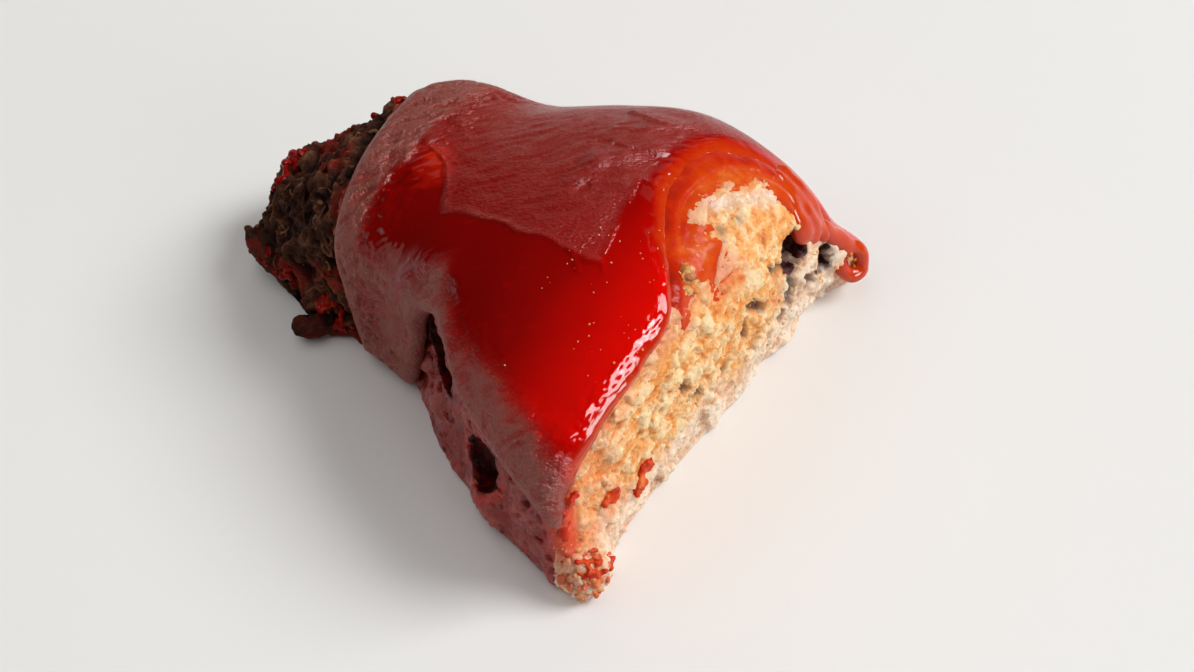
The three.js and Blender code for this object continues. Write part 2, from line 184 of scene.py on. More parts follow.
def grains(points, pitch, seed):
    """Packed grains: distance to the nearest middle, distance to a crease, and the grain's number."""
    place = points / pitch
    cell = np.floor(place).astype(np.int64)
    first = np.full(place.shape[:-1], 9.0)
    second, number = first.copy(), first.copy()
    for step in product((-1, 0, 1), repeat=3):
        near = cell + np.array(step)
        middle = near + np.stack([hashed(near, seed + k) for k in range(3)], axis=-1)
        gap = ((place - middle) ** 2).sum(-1)
        closer = gap < first
        second = np.where(closer, first, np.minimum(second, gap))
        number = np.where(closer, hashed(near, seed + 3), number)
        first = np.minimum(first, gap)
    return np.sqrt(first), np.sqrt(second) - np.sqrt(first), number


def along(points, route, width):
    """1 on a route through the given places, fading to 0 at its width."""
    route = np.array(route, float)
    gap = np.full(points.shape[:-1], 1e9)
    for start, end in zip(route[:-1], route[1:]):
        way = end - start
        t = np.clip((points - start) @ way / (way @ way), 0, 1)
        gap = np.minimum(gap, np.linalg.norm(points - start - t[..., None] * way, axis=-1))
    return 1 - smooth(0, width, gap)


# ----------------------------------------------------------- loaf surface

SECTION_STEP = 0.25
SECTION_X = np.arange(END_X, CUT_X + 0.3, SECTION_STEP)
SHARES = np.linspace(0, 1, 601)
ARC_SAMPLES = 160
# Length of a middle section's arc, which turns shares into millimetres.
SECTION_ARC = 190.0
# Height of a line inside the loaf, which tells the inside from the outside.
CORE_HEIGHT = 5


def section_tables():
    """Y and Z of the loaf's plain surface for each section and share v."""
    front, back, height, ridge, lean = (
        read_rows(STATIONS[:, 0], STATIONS[:, k], SECTION_X)[:, None] for k in range(1, 6)
    )
    depth = np.clip((END_X + END_ROUND - SECTION_X) / END_ROUND, 0, 1)
    scale = mix(END_FLAT, 1, np.sqrt(1 - depth ** 2))[:, None]
    angle = np.linspace(0, np.pi, ARC_SAMPLES + 1)[None]
    side = np.cos(angle)
    power = np.where(side > 0, 2 / FRONT_SQUARENESS, 2 / BACK_SQUARENESS)
    reach = np.sign(side) * np.abs(side) ** power
    wall = np.abs(np.sin(angle)) ** power
    z = height * ((1 - DOME_RISE) * wall + DOME_RISE * (1 - reach ** 2))
    inward = np.where(reach > 0, lean, BACK_LEAN)
    drawn = inward * np.clip(z / LEAN_HEIGHT, 0, 1) * np.abs(reach) ** 3
    width = np.where(reach > 0, ridge - front, back - ridge) - drawn
    y = ridge - reach * width * scale
    z = z * scale
    z[:, [0, -1]] = 0
    lengths = np.hypot(np.diff(y), np.diff(z)).cumsum(1)
    lengths = np.pad(lengths, ((0, 0), (1, 0))) / lengths[:, -1:]
    rows = range(len(SECTION_X))
    y = np.array([np.interp(SHARES, lengths[k], y[k]) for k in rows])
    z = np.array([np.interp(SHARES, lengths[k], z[k]) for k in rows])
    return y, z


SECTION_Y, SECTION_Z = section_tables()


def push_lumps(points):
    """Pushes the surface out at the lumps and in at the dents; the foot stays flat."""
    moved = points.copy()
    for centre, spread, push in LUMPS:
        near = np.exp(-((points - centre) ** 2).sum(-1) / (2 * spread ** 2))
        moved += near[..., None] * push
    moved[..., 2] = np.where(points[..., 2] < 0.01, 0, np.maximum(moved[..., 2], 0.4))
    return moved


def plain_point(x, v):
    """The plain surface of the loaf at section x and share v."""
    i = np.clip((x - SECTION_X[0]) / SECTION_STEP, 0, len(SECTION_X) - 1.001)
    j = np.clip(v, 0, 1) * (len(SHARES) - 1.001)
    row, column = i.astype(int), j.astype(int)
    s, t = i - row, j - column
    values = []
    for table in (SECTION_Y, SECTION_Z):
        here = mix(table[row, column], table[row, column + 1], t)
        ahead = mix(table[row + 1, column], table[row + 1, column + 1], t)
        values.append(mix(here, ahead, s))
    return push_lumps(np.stack([x, *values], axis=-1))


def outward(x, v, reach=1.5, share=0.012):
    """Directions out of the plain surface, from its slope over a few millimetres."""
    ahead, behind = np.maximum(x - reach, END_X), np.minimum(x + reach, CUT_X)
    along_x = plain_point(ahead, v) - plain_point(behind, v)
    across = plain_point(x, np.minimum(v + share, 1)) - plain_point(x, np.maximum(v - share, 0))
    return unit(np.cross(across, along_x))


def share_tables():
    """The shares v where the glaze's front and back edges lie in each section."""
    front, back = (read_rows(*edge.T, SECTION_X) for edge in (GLAZE_FRONT, GLAZE_BACK))
    low = np.argmax(SECTION_Z >= front[:, None], axis=1)
    high = len(SHARES) - 1 - np.argmax(SECTION_Z[:, ::-1] >= back[:, None], axis=1)
    return SHARES[low], SHARES[high]


EDGE_SHARES = share_tables()


def edge_shares(x):
    """The shares v of the glaze's front and back edges at each x."""
    return [np.interp(x, SECTION_X, shares) for shares in EDGE_SHARES]


def glaze_end(v):
    return read_rows(*GLAZE_END.T, v)


def cut_start(v):
    """Where the line at share v starts: at the cut, or behind the shoulder."""
    rim = plain_point(np.full(np.shape(v), CUT_X - SHOULDER["depth"] / 2), v)
    reach = np.where(rim[..., 1] < SHOULDER["y"], SHOULDER["front"], SHOULDER["back"])
    across = np.abs((rim[..., 1] - SHOULDER["y"]) / reach) ** 3
    fade = smooth(SHOULDER["low"], SHOULDER["high"], rim[..., 2])
    return CUT_X - SHOULDER["depth"] * np.exp(-across) * fade


def place_on_loaf(points):
    """For points near the skin: their share v and their depth under it."""
    row = np.clip(np.rint((points[:, 0] - SECTION_X[0]) / SECTION_STEP), 0, len(SECTION_X) - 1)
    row = row.astype(int)
    share, depth = np.empty(len(points)), np.empty(len(points))
    for start in range(0, len(points), 20000):
        part = slice(start, start + 20000)
        y, z = SECTION_Y[row[part], ::3], SECTION_Z[row[part], ::3]
        gap = np.hypot(y - points[part, 1:2], z - points[part, 2:3])
        nearest = gap.argmin(1)
        rows = np.arange(len(nearest))
        skin_reach = np.hypot(y[rows, nearest], z[rows, nearest] - CORE_HEIGHT)
        inside = skin_reach > np.hypot(points[part, 1], points[part, 2] - CORE_HEIGHT)
        share[part] = SHARES[::3][nearest]
        depth[part] = np.where(inside, 1, -1) * gap.min(1)
    return share, depth


# ------------------------------------------------------------------ meshes


def put_in_scene(name, data):
    """A new object in the scene."""
    thing = bpy.data.objects.new(name, data)
    bpy.context.scene.collection.objects.link(thing)
    return thing


def make_piece(name, points, faces, material, slot, hides=(), **tones):
    """A smooth-shaded piece from points in millimetres, with the tones that its material reads."""
    mesh = bpy.data.meshes.new(name)
    rows = (np.asarray(points) + SHIFT) * MM
    mesh.from_pydata(rows.tolist(), [], [list(face) for face in faces])
    mesh.validate()
    mesh.materials.append(material)
    mesh.shade_smooth()
    for tone, values in tones.items():
        layer = mesh.attributes.new(tone, "FLOAT", "POINT")
        layer.data.foreach_set("value", np.full(len(points), values, np.float32))
    piece = put_in_scene(name, mesh)
    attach(piece, "root")
    for node in hides:
        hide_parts(node)
    return piece


def grid_faces(rows, columns):
    a = (np.arange(rows - 1)[:, None] * columns + np.arange(columns - 1)[None]).ravel()
    return np.stack([a, a + columns, a + columns + 1, a + 1], axis=1)


def point_normals(points, quads):
    across = np.cross(points[quads[:, 2]] - points[quads[:, 0]], points[quads[:, 3]] - points[quads[:, 1]])
    total = np.zeros_like(points)
    for corner in range(4):
        for axis in range(3):
            total[:, axis] += np.bincount(quads[:, corner], across[:, axis], len(points))
    return unit(total)


def relax(points, quads, rounds):
    """Rounds off facets by drawing each point towards its neighbours."""
    ends = np.concatenate([quads[:, [k, (k + 1) % 4]] for k in range(4)])
    count = np.bincount(ends[:, 0], minlength=len(points))[:, None]
    for _ in range(rounds):
        drawn = np.stack(
            [np.bincount(ends[:, 0], points[ends[:, 1], axis], len(points)) for axis in range(3)], axis=1
        )
        points = mix(points, drawn / np.maximum(count, 1), 0.5)
    return points


def even_skin(mesh, voxel):
    """Even quads over a closed mesh, in millimetres: points and quads."""
    source = put_in_scene("skin_source", mesh)
    step = source.modifiers.new("skin", "REMESH")
    step.mode = "VOXEL"
    step.voxel_size = voxel * MM
    graph = bpy.context.evaluated_depsgraph_get()
    skin = bpy.data.meshes.new_from_object(source.evaluated_get(graph))
    points = np.empty(len(skin.vertices) * 3)
    skin.vertices.foreach_get("co", points)
    corners = np.empty(len(skin.loops), np.int64)
    skin.loops.foreach_get("vertex_index", corners)
    bpy.data.objects.remove(source)
    bpy.data.meshes.remove(skin)
    return points.reshape(-1, 3) / MM - SHIFT, corners.reshape(-1, 4)


def ball(subdivisions):
    """Points and faces of a round grain, before it is made uneven."""
    mesh = bmesh.new()
    bmesh.ops.create_icosphere(mesh, subdivisions=subdivisions, radius=1)
    points = np.array([v.co[:] for v in mesh.verts])
    faces = np.array([[v.index for v in f.verts] for f in mesh.faces])
    mesh.free()
    return points, faces


def random_turns(count, rng):
    """Even random rotations, as matrices."""
    w, x, y, z = unit(rng.normal(size=(count, 4))).T
    rows = [
        [1 - 2 * (y * y + z * z), 2 * (x * y - w * z), 2 * (x * z + w * y)],
        [2 * (x * y + w * z), 1 - 2 * (x * x + z * z), 2 * (y * z - w * x)],
        [2 * (x * z - w * y), 2 * (y * z + w * x), 1 - 2 * (x * x + y * y)],
    ]
    return np.array(rows).transpose(2, 0, 1)


def joined_copies(copies, faces):
    """Copies of one mesh as a single list of points and faces."""
    count, each = copies.shape[:2]
    offsets = (np.arange(count) * each)[:, None, None]
    return copies.reshape(-1, 3), (faces[None] + offsets).reshape(-1, 3)


def uneven_grains(centres, sizes, subdivisions, rng, seed, flatness=(0.55, 1.3)):
    """Lumpy grains of mince at the centres: joined points, faces and grain numbers."""
    points, faces = ball(subdivisions)
    count = len(centres)
    stretch = rng.uniform(*flatness, size=(count, 1, 3)) * sizes[:, None, None]
    dents = noise(points[None] + rng.uniform(0, 90, (count, 1, 3)), 0.8, seed)
    shaped = points[None] * (1 + 0.45 * dents)[..., None]
    turned = np.einsum("nij,nkj->nki", random_turns(count, rng), shaped * stretch)
    grown, faces = joined_copies(turned + centres[:, None], faces)
    grown[:, 2] = np.maximum(grown[:, 2], 0.05)
    return grown, faces, np.repeat(np.arange(count), len(points))


def row_of_balls(balls, step=0.6):
    """Balls set closely along a row of a few (x, y, z, radius)."""
    balls = np.array(balls, float)
    travelled = np.linalg.norm(np.diff(balls[:, :3], axis=0), axis=1).cumsum()
    travelled = np.concatenate([[0], travelled])
    places = np.linspace(0, travelled[-1], int(travelled[-1] / step) + 2)
    return np.stack([np.interp(places, travelled, balls[:, k]) for k in range(4)], axis=1)


def blob_skin(balls, voxel, rounds, depth, pitch, seed, layers):
    """A soft skin round balls (x, y, z, radius), with lumps: points, quads and the lumps' heights."""
    points, faces = ball(3)
    balls = np.array(balls, float)
    points, faces = joined_copies(balls[:, None, :3] + points[None] * balls[:, None, 3:], faces)
    mesh = bpy.data.meshes.new("balls")
    mesh.from_pydata(((points + SHIFT) * MM).tolist(), [], faces.tolist())
    points, quads = even_skin(mesh, voxel)
    points = relax(points, quads, rounds)
    height = depth * fractal(points, pitch, seed, layers)
    return points + point_normals(points, quads) * height[:, None], quads, height


# How far the film's edge is sunk into the meat, and how deep its underside lies.
FILM_SUNK, FILM_ROOT = -1.0, 1.6


def film_over(skin, normals, quads, cover, height):
    """A thin closed layer over the skin where cover > 0, sunk into the meat at its edge."""
    chosen = quads[(cover[quads] > 0.01).all(1)]
    used, index = np.unique(chosen, return_inverse=True)
    faces = index.reshape(-1, 4)
    lift = mix(FILM_SUNK, height[used], smooth(0, 0.6, cover[used]))
    top = skin[used] + normals[used] * lift[:, None]
    bottom = skin[used] - normals[used] * FILM_ROOT
    count = len(used)
    edges = np.concatenate([faces[:, [k, (k + 1) % 4]] for k in range(4)])
    code, back = edges[:, 0] * count + edges[:, 1], edges[:, 1] * count + edges[:, 0]
    a, b = edges[~np.isin(back, code)].T
    sides = np.stack([b, a, a + count, b + count], axis=1)
    all_faces = np.concatenate([faces, faces[:, ::-1] + count, sides])
    return np.concatenate([top, bottom]), all_faces, used


# --------------------------------------------------------------- materials


def linear(code):
    """An sRGB hex colour as linear RGBA."""
    parts = [int(code[k : k + 2], 16) / 255 for k in (1, 3, 5)]
    curve = [p / 12.92 if p <= 0.04045 else ((p + 0.055) / 1.055) ** 2.4 for p in parts]
    return (*curve, 1.0)


# How the nodes of these kinds are set here.
USUAL = {
    "Math": {"operation": "MULTIPLY_ADD"},
    "Mix": {"data_type": "RGBA"},
    "Mapping": {"vector_type": "TEXTURE"},
}


def add_node(tree, kind, *fed, out=None, stops=None, **given):
    """Adds a node, or takes one that is there, and gives its output of that name or the first in use.

    Small-letter names are its settings.  The rest are inputs, in their order or by name: a number, a
    hex colour or the output that feeds it.  Stops are the places and colours of a ramp.
    """
    node = tree.nodes.new("ShaderNode" + kind) if isinstance(kind, str) else kind
    named = {key: given.pop(key) for key in list(given) if key[0].isupper()}
    for key, value in {**USUAL.get(kind, {}), **given}.items():
        setattr(node, key, value)
    fed_sockets = [*zip([socket for socket in node.inputs if socket.enabled], fed)]
    fed_sockets += [(node.inputs[key.replace("_", " ")], value) for key, value in named.items()]
    for socket, value in fed_sockets:
        if isinstance(value, bpy.types.NodeSocket):
            tree.links.new(value, socket)
        else:
            socket.default_value = linear(value) if isinstance(value, str) else value
    if stops:
        bar = node.color_ramp.elements
        while len(bar) < len(stops):
            bar.new(0.5)
        for element, (place, code) in zip(bar, stops.items()):
            element.position, element.color = place, linear(code)
    return node.outputs[out] if out else next(socket for socket in node.outputs if socket.enabled)


def new_material(name):
    """A material, the function that adds nodes to it, and its shader."""
    material = bpy.data.materials.new(name)
    material.use_nodes = True
    tree = material.node_tree
    return material, partial(add_node, tree), tree.nodes["Principled BSDF"]


def grain(millimetres):
    """The scale of a pattern whose grains measure about that many millimetres."""
    return 1 / (millimetres * MM)


def ketchup_glaze():
    """Ketchup reduced in the oven: a deep red gel with a wet gloss and a thin wrinkled skin."""
    material, add, shader = new_material("baked_ketchup_glaze")
    place = add("TexCoord", out="Object")
    tones = ("bright", "thin", "skin", "ridge")
    bright, thin, skin, ridge = (add("Attribute", out="Fac", attribute_name=tone) for tone in tones)
    mottled = add("TexNoise", place, Scale=grain(9), Detail=3)
    # Painted light: the red gets lighter towards the cut and darker at the front corner, as the light falls
    # there.
    depth = add("Math", mottled, 0.16, add("Math", bright, 1, -0.08))
    deep = add("ValToRGB", depth, stops={0.0: "#7C0200", 0.45: "#900300", 0.75: "#B80400", 1.0: "#DC0600"})
    turned = add("Mapping", place, Rotation=(0, 0, 0.6), Scale=(3, 1, 1))
    streaks = add("TexNoise", turned, Scale=grain(1.6), Detail=3)
    thinness = add("Math", streaks, 0.5, add("Math", thin, 1, -0.25))
    orange = add("ValToRGB", thinness, stops={0.0: "#B00502", 0.45: "#BC2206", 1.0: "#CC420E"})
    colour = add("Mix", add("MapRange", thinness, 0.05, 0.4), deep, orange)
    turned = add("Mapping", place, Rotation=(0, 0, 0.68), Scale=(1.5, 1, 1))
    fibres = add("TexNoise", turned, Scale=grain(0.55), Detail=4)
    # Painted highlight: the wrinkles' crests take more of the pale dull colour.
    matte_and_sheen = add("Math", ridge, 0.4, -0.25)
    matte_and_sheen = add("Math", skin, 0.85, matte_and_sheen)
    matte_and_sheen = add("Math", fibres, 0.5, matte_and_sheen)
    # The dull colour is partly the dried skin's own and partly painted sheen.
    dull = add("ValToRGB", matte_and_sheen, stops={0.5: "#A02014", 1.0: "#925044"})
    colour = add("Mix", add("MapRange", matte_and_sheen, 0.3, 1.0, 0.0, 0.75), colour, dull)
    height = add("Math", fibres, skin, 0)
    add(
        shader, Base_Color=colour, Roughness=add("MapRange", matte_and_sheen, 0, 1, 0.07, 0.38), IOR=1.42,
        Subsurface_Weight=0.1, Subsurface_Radius=(1.0, 0.12, 0.06), Subsurface_Scale=2 * MM,
        Normal=add("Bump", Height=height, Distance=0.6 * MM),
    )
    return material


def thin_ketchup():
    """Ketchup smeared thin over crumb: wet, orange where the light comes back through it."""
    material, add, shader = new_material("thin_ketchup_film")
    place = add("TexCoord", out="Object")
    thick = add("Attribute", out="Fac", attribute_name="thick")
    clots = add("TexNoise", place, Scale=grain(2.4), Detail=4)
    depth = add("Math", clots, 0.5, add("Math", thick, 1, -0.25))
    colour = add("ValToRGB", depth, stops={0.0: "#DE7A30", 0.25: "#D0480E", 0.55: "#C02606", 1.0: "#800803"})
    fine = add("TexNoise", place, Scale=grain(0.9), Detail=3)
    add(
        shader, Base_Color=colour, Roughness=add("MapRange", clots, 0.3, 0.7, 0.12, 0.3), IOR=1.4,
        Specular_IOR_Level=0.18, Subsurface_Weight=0.08, Subsurface_Radius=(1.0, 0.3, 0.1),
        Subsurface_Scale=1.5 * MM, Normal=add("Bump", Height=fine, Distance=0.08 * MM),
    )
    return material


def baked_crumb():
    """Cut meatloaf: moist mince and breadcrumb, cream on the raised flakes, orange in the creases from fat
    and from painted shade.
    """
    material, add, shader = new_material("cut_meatloaf_crumb")
    place = add("TexCoord", out="Object")
    tones = ("crest", "pale", "wash", "stain", "dark", "wet")
    crest, pale, wash, stain, dark, wet = (add("Attribute", out="Fac", attribute_name=tone) for tone in tones)
    turned = add("Mapping", place, Rotation=(0.5, 0, 0), Scale=(1, 1.5, 1))
    clouds = add("TexNoise", turned, Scale=grain(3.0), Detail=5, Distortion=0.6)
    fine = add("TexNoise", place, Scale=grain(0.7), Detail=4, Roughness=0.65)
    # Painted shade: the crumb is darker where its relief is low.
    value = add("Math", crest, 0.55, -0.55)
    value = add("Math", clouds, 1.5, value)
    value = add("Math", fine, 0.6, add("Math", value, 1, -0.21))
    warm = add("ValToRGB", value, stops={0.1: "#C0601E", 0.3: "#EA8C36", 0.55: "#F5AD5E", 0.85: "#FCDAA8"})
    cream = add("ValToRGB", value, stops={0.1: "#A8806C", 0.3: "#D8AE90", 0.55: "#ECCDB2", 0.85: "#F8E6D4"})
    spots = add("MapRange", add("TexNoise", place, Scale=grain(1.5), Detail=3), 0.66, 0.74, 0.0, 0.5)
    colour = add("Mix", pale, warm, cream)
    # The dark tone paints shade in the hollows and crevices and also holds the grey spots.
    for share, code in ((wash, "#E58A66"), (spots, "#9A5444"), (stain, "#DC4A1C"), (dark, "#4A2220")):
        colour = add("Mix", share, colour, code)
    add(
        shader, Base_Color=colour, Roughness=add("MapRange", wet, 0.0, 1.0, 0.5, 0.14), IOR=1.4,
        Subsurface_Weight=0.3, Subsurface_Radius=(1.0, 0.5, 0.25), Subsurface_Scale=1.2 * MM,
        Normal=add("Bump", Height=fine, Distance=0.45 * MM),
    )
    return material


def side_crust():
    """Baked side under the glaze: dusky red crust with a dull skin of dried ketchup."""
    material, add, shader = new_material("ketchup_stained_crust")
    place = add("TexCoord", out="Object")
    tones = ("crest", "stain", "dark")
    crest, stain, dark = (add("Attribute", out="Fac", attribute_name=tone) for tone in tones)
    lumps = add("TexNoise", place, Scale=grain(2.6), Detail=4, Roughness=0.6)
    # Painted shade: darker in the pits and low places, lighter on the lumps and the pits' rims.
    value = add("Math", crest, 0.7, -0.3)
    value = add("Math", lumps, 0.9, value)
    colour = add("ValToRGB", value, stops={0.1: "#5C0604", 0.35: "#841810", 0.6: "#98302A", 0.85: "#A84C44"})
    # Dark is painted shade at the hollows in the side.
    for share, code in ((stain, "#B8200C"), (dark, "#4A0301")):
        colour = add("Mix", share, colour, code)
    drawn = add("Mapping", place, Scale=(1, 1, 3))
    fibres = add("TexNoise", drawn, Scale=grain(0.6), Detail=4)
    add(
        shader, Base_Color=colour, Roughness=add("MapRange", value, 0.3, 0.7, 0.14, 0.4), IOR=1.45,
        Subsurface_Weight=0.08, Subsurface_Radius=(1.0, 0.2, 0.1), Subsurface_Scale=1.5 * MM,
        Normal=add("Bump", Height=fibres, Distance=0.3 * MM),
    )
    return material


def browned_crust():
    """Browned meat at the loaf's end: dry, tan on the ridges and nearly black in the creases, the dark being
    painted shade.
    """
    material, add, shader = new_material("browned_meat_crust")
    place = add("TexCoord", out="Object")
    crest, stain = (add("Attribute", out="Fac", attribute_name=tone) for tone in ("crest", "stain"))
    strands = add("TexNoise", place, Scale=grain(1.6), Detail=5, Roughness=0.65)
    # Painted shade: darker where the crags lie low.
    value = add("Math", crest, 0.8, -0.35)
    value = add("Math", strands, 0.9, value)
    colour = add("ValToRGB", value, stops={0.1: "#0C0201", 0.35: "#220C06", 0.6: "#4A2616", 0.9: "#80553A"})
    colour = add("Mix", stain, colour, "#7E1209")
    fine = add("TexNoise", place, Scale=grain(0.6), Detail=3)
    add(
        shader, Base_Color=colour, Roughness=0.6, IOR=1.45, Specular_IOR_Level=0.08,
        Normal=add("Bump", Height=fine, Distance=0.45 * MM),
    )
    return material


def shaded_hollow():
    """Moist meat deep in a burst hollow, painted near black as shade where little light comes back out."""
    material, add, shader = new_material("meat_in_hollow_painted_shade")
    pale = add("Attribute", out="Fac", attribute_name="pale")
    lumps = add("TexNoise", add("TexCoord", out="Object"), Scale=grain(2.2), Detail=4)
    red = add("ValToRGB", lumps, stops={0.3: "#1A0201", 0.55: "#420806", 0.75: "#72140C"})
    brown = add("ValToRGB", lumps, stops={0.35: "#2C100E", 0.55: "#56302C", 0.75: "#8A5A4C"})
    add(
        shader, Base_Color=add("Mix", pale, red, brown), Roughness=0.35, IOR=1.4,
        Specular_IOR_Level=0.12, Normal=add("Bump", Height=lumps, Distance=0.6 * MM),
    )
    return material


def pale_floor():
    """A plain matt table top."""
    material, add, shader = new_material("matt_pale_laminate")
    clouds = add("TexNoise", add("TexCoord", out="Object"), Scale=grain(400), Detail=2)
    colour = add("ValToRGB", clouds, stops={0.3: "#EDECEA", 0.7: "#F0EFED"})
    add(shader, Base_Color=colour, Roughness=0.7, IOR=1.45)
    return material


# ------------------------------------------------------------------- meat

VOXEL = 0.45

# Places on the cut and the side: wet and washed rims, the film's smears, glints and grey spots.
FRONT_RIM = [(36.5, -53, 36), (36.8, -55.5, 30), (36.8, -56.5, 22), (37.5, -58, 12), (41, -58, 6)]
CUT_RIM = [(36.8, -52, 38), (37, -46.7, 41.2), (37, -35.6, 42.6), (36.1, -20.7, 45.2), (34, -9, 46)]
SMEAR = [(18.5, 8, 49), (21, 3.5, 49), (24.5, 0.5, 48.3), (28, -2, 47.2), (31, -1.3, 45.3), (34, 0.8, 41)]
WET_EDGE = [(32.6, -13, 47.8), (34.6, -9.5, 45.6)]
GLINTING = [(24.5, 10.2, 47.4), (26.8, 16.4, 44.6), (29, 23.7, 40.2)]
GREY_SPOTS = [(29.3, 7, 45.6), (29.6, 12, 44.4), (33, -10, 45.2)]
# Middle of the hood's underside, where no film lies.
HOOD_MIDDLE = (34, 24, 27)
# Crevices of the torn crumb, sunk and painted dark as shade: route and width.
CREVICES = [
    ([(36.3, 13.8, 31), (36.4, 16.2, 29.2)], 1.5),
    ([(36.5, 20.8, 23.4), (36.8, 20.2, 19.5), (36.9, 19.2, 16.2)], 1.6),
    ([(37.1, 9.3, 23.5), (37.2, 7.4, 26.8), (37.2, 4.7, 28.8)], 1.6),
    ([(37, 2.4, 25), (36.9, 2.6, 20.4)], 1.5),
    ([(37, 25.6, 17.6), (37, 27.2, 14.2)], 1.8),
    ([(36.9, -18.4, 27), (36.9, -17, 23.6)], 1.5),
    ([(36.9, -14.4, 19.4), (36.9, -13.4, 17.6)], 1.3),
    ([(37, 15.5, 14), (37, 16.5, 11.4)], 1.3),
    ([(36.9, 10.8, 17.8), (37, 8.6, 17)], 1.2),
    ([(36.8, -3.5, 17), (36.8, -4.6, 15.4)], 1.2),
]


def loaf_zones(points):
    """How much each point is crumb, browned end and hidden under the glaze, 0 to 1."""
    share, depth = place_on_loaf(points)
    start, end = cut_start(share), glaze_end(share)
    crumb = np.maximum(
        smooth(-3.2, -1.8, points[:, 0] - start),
        smooth(0.8, 1.6, depth) * smooth(16.5, 18, points[:, 0]),
    )
    browned = smooth(1.0, 4.0, end - points[:, 0])
    v_low, v_high = edge_shares(points[:, 0])
    under = (
        smooth(0.004, 0.02, share - v_low) * smooth(0.004, 0.02, v_high - share)
        * smooth(-0.5, 1.0, points[:, 0] - end) * (1 - crumb)
    )
    return {
        "crumb": crumb, "browned": browned, "under": under, "depth": depth,
        "from_glaze": points[:, 0] - start, "start": start,
        "below": np.where(share < v_low, (v_low - share) * SECTION_ARC, 99),
    }


def film_cover(points, zones):
    """Where thin ketchup lies on the crumb, 0 to 1, and how thick it looks."""
    ragged = 0.3 * fractal(points, 4, 71) + 0.3 * fractal(points, 1.6, 76, 2)
    shoulder = smooth(34.5, 31, zones["start"]) * zones["crumb"] * smooth(9, 5, zones["depth"])
    band = shoulder * (1 - smooth(4, 8, zones["from_glaze"] + 2.5 * noise(points, 6, 77)))
    smear = np.maximum(along(points, SMEAR, 9.5), 0.85 * along(points, WET_EDGE, 5.2))
    front = 0.55 * along(points, FRONT_RIM, 4.0) * smooth(32, 35, points[:, 0]) * smooth(14, 19, points[:, 2])
    cover = np.maximum.reduce([band, smear, front])
    hood = np.linalg.norm(points - HOOD_MIDDLE, axis=1)
    ragged = ragged * smooth(0, 0.3, cover) * smooth(1, 0.7, cover)
    return np.clip(cover + ragged, 0, 1) * smooth(12, 16, points[:, 0]) * smooth(6, 9, hood)


def hollow_radius(points, hollow):
    """Distance from the hollow's middle, where 1 is its wall."""
    centre, half, turn = hollow
    away = bend(points, 3, 0.9, 44) - centre
    c, s = math.cos(turn), math.sin(turn)
    local = [c * away[:, 0] - s * away[:, 2], away[:, 1], s * away[:, 0] + c * away[:, 2]]
    return np.linalg.norm(np.stack(local, axis=-1) / half, axis=-1)


def hollow_depth(points):
    """1 inside a hollow of the meat, fading just outside its wall."""
    return np.maximum.reduce([1 - smooth(0.95, 1.25, hollow_radius(points, hollow)) for hollow in HOLLOWS])


def crumb_form(points):
    """Torn crumb: chunks that broke off at different depths, in three sizes: height, and painted shade with
    the chunks' own tone.
    """
    _, crease, number = grains(bend(points, 6, 3.0, 14), 5.6, 11)
    _, crease2, number2 = grains(bend(points, 2.6, 1.3, 16), 2.5, 12)
    _, crease3, number3 = grains(points, 1.3, 18)
    flake = np.zeros(len(points))
    for k, (cosine, sine) in enumerate([(0.8, 0.6), (0.3, -0.95), (0.99, -0.1)]):
        turned = points @ np.array([[1, 0, 0], [0, cosine, sine], [0, -sine, cosine]])
        here = np.floor(number * 2.999) == k
        flake[here] = 1 - 2 * np.abs(fractal(turned[here] / np.array([1.2, 3.4, 1.0]), 1.1, 19 + k, 3))
    height = (
        (0.5 + 1.25 * (number - 0.5)) * smooth(0, 0.13, crease)
        + (0.1 + 0.3 * (number2 - 0.5)) * smooth(0, 0.3, crease2)
        + (0.1 + 0.5 * (number3 - 0.5)) * smooth(0, 0.25, crease3)
        + 0.38 * flake + 0.3 * fractal(points, 3.2, 13, 3)
    ) - 0.6
    holes = np.zeros(len(points))
    for route, width in CREVICES:
        holes = np.maximum(holes, smooth(0.1, 0.75, along(bend(points, 1.6, 1.2, 17), route, 1.65 * width)))
    # Painted shade: darker where the crumb lies low, over each chunk's own random tone.
    crest = 0.5 + 0.3 * height + 0.3 * (number2 - 0.5) + 0.3 * (number3 - 0.5) + 0.25 * (number - 0.5)
    crest = crest + 0.15 * flake
    return height - 2.2 * holes, crest, holes


def crag_form(points):
    """Browned mince: warped ridges and strands over deep creases, with painted shade that darkens the
    creases.
    """
    bent = bend(points, 5, 2.2, 24)
    ridge = 1 - np.abs(noise(bent, 4.4, 21)) * 2.2
    strand = 1 - np.abs(noise(bend(points, 2.5, 1.2, 27), 2.0, 22)) * 2.2
    first, _, _ = grains(bent, 3.4, 23)
    height = 1.6 * ridge + 0.8 * strand + 0.7 * (0.6 - first) + 1.0 * noise(points, 8, 25) - 1.1
    # The second value is painted shade: darker down in the creases.
    return height, 0.5 + 0.22 * height


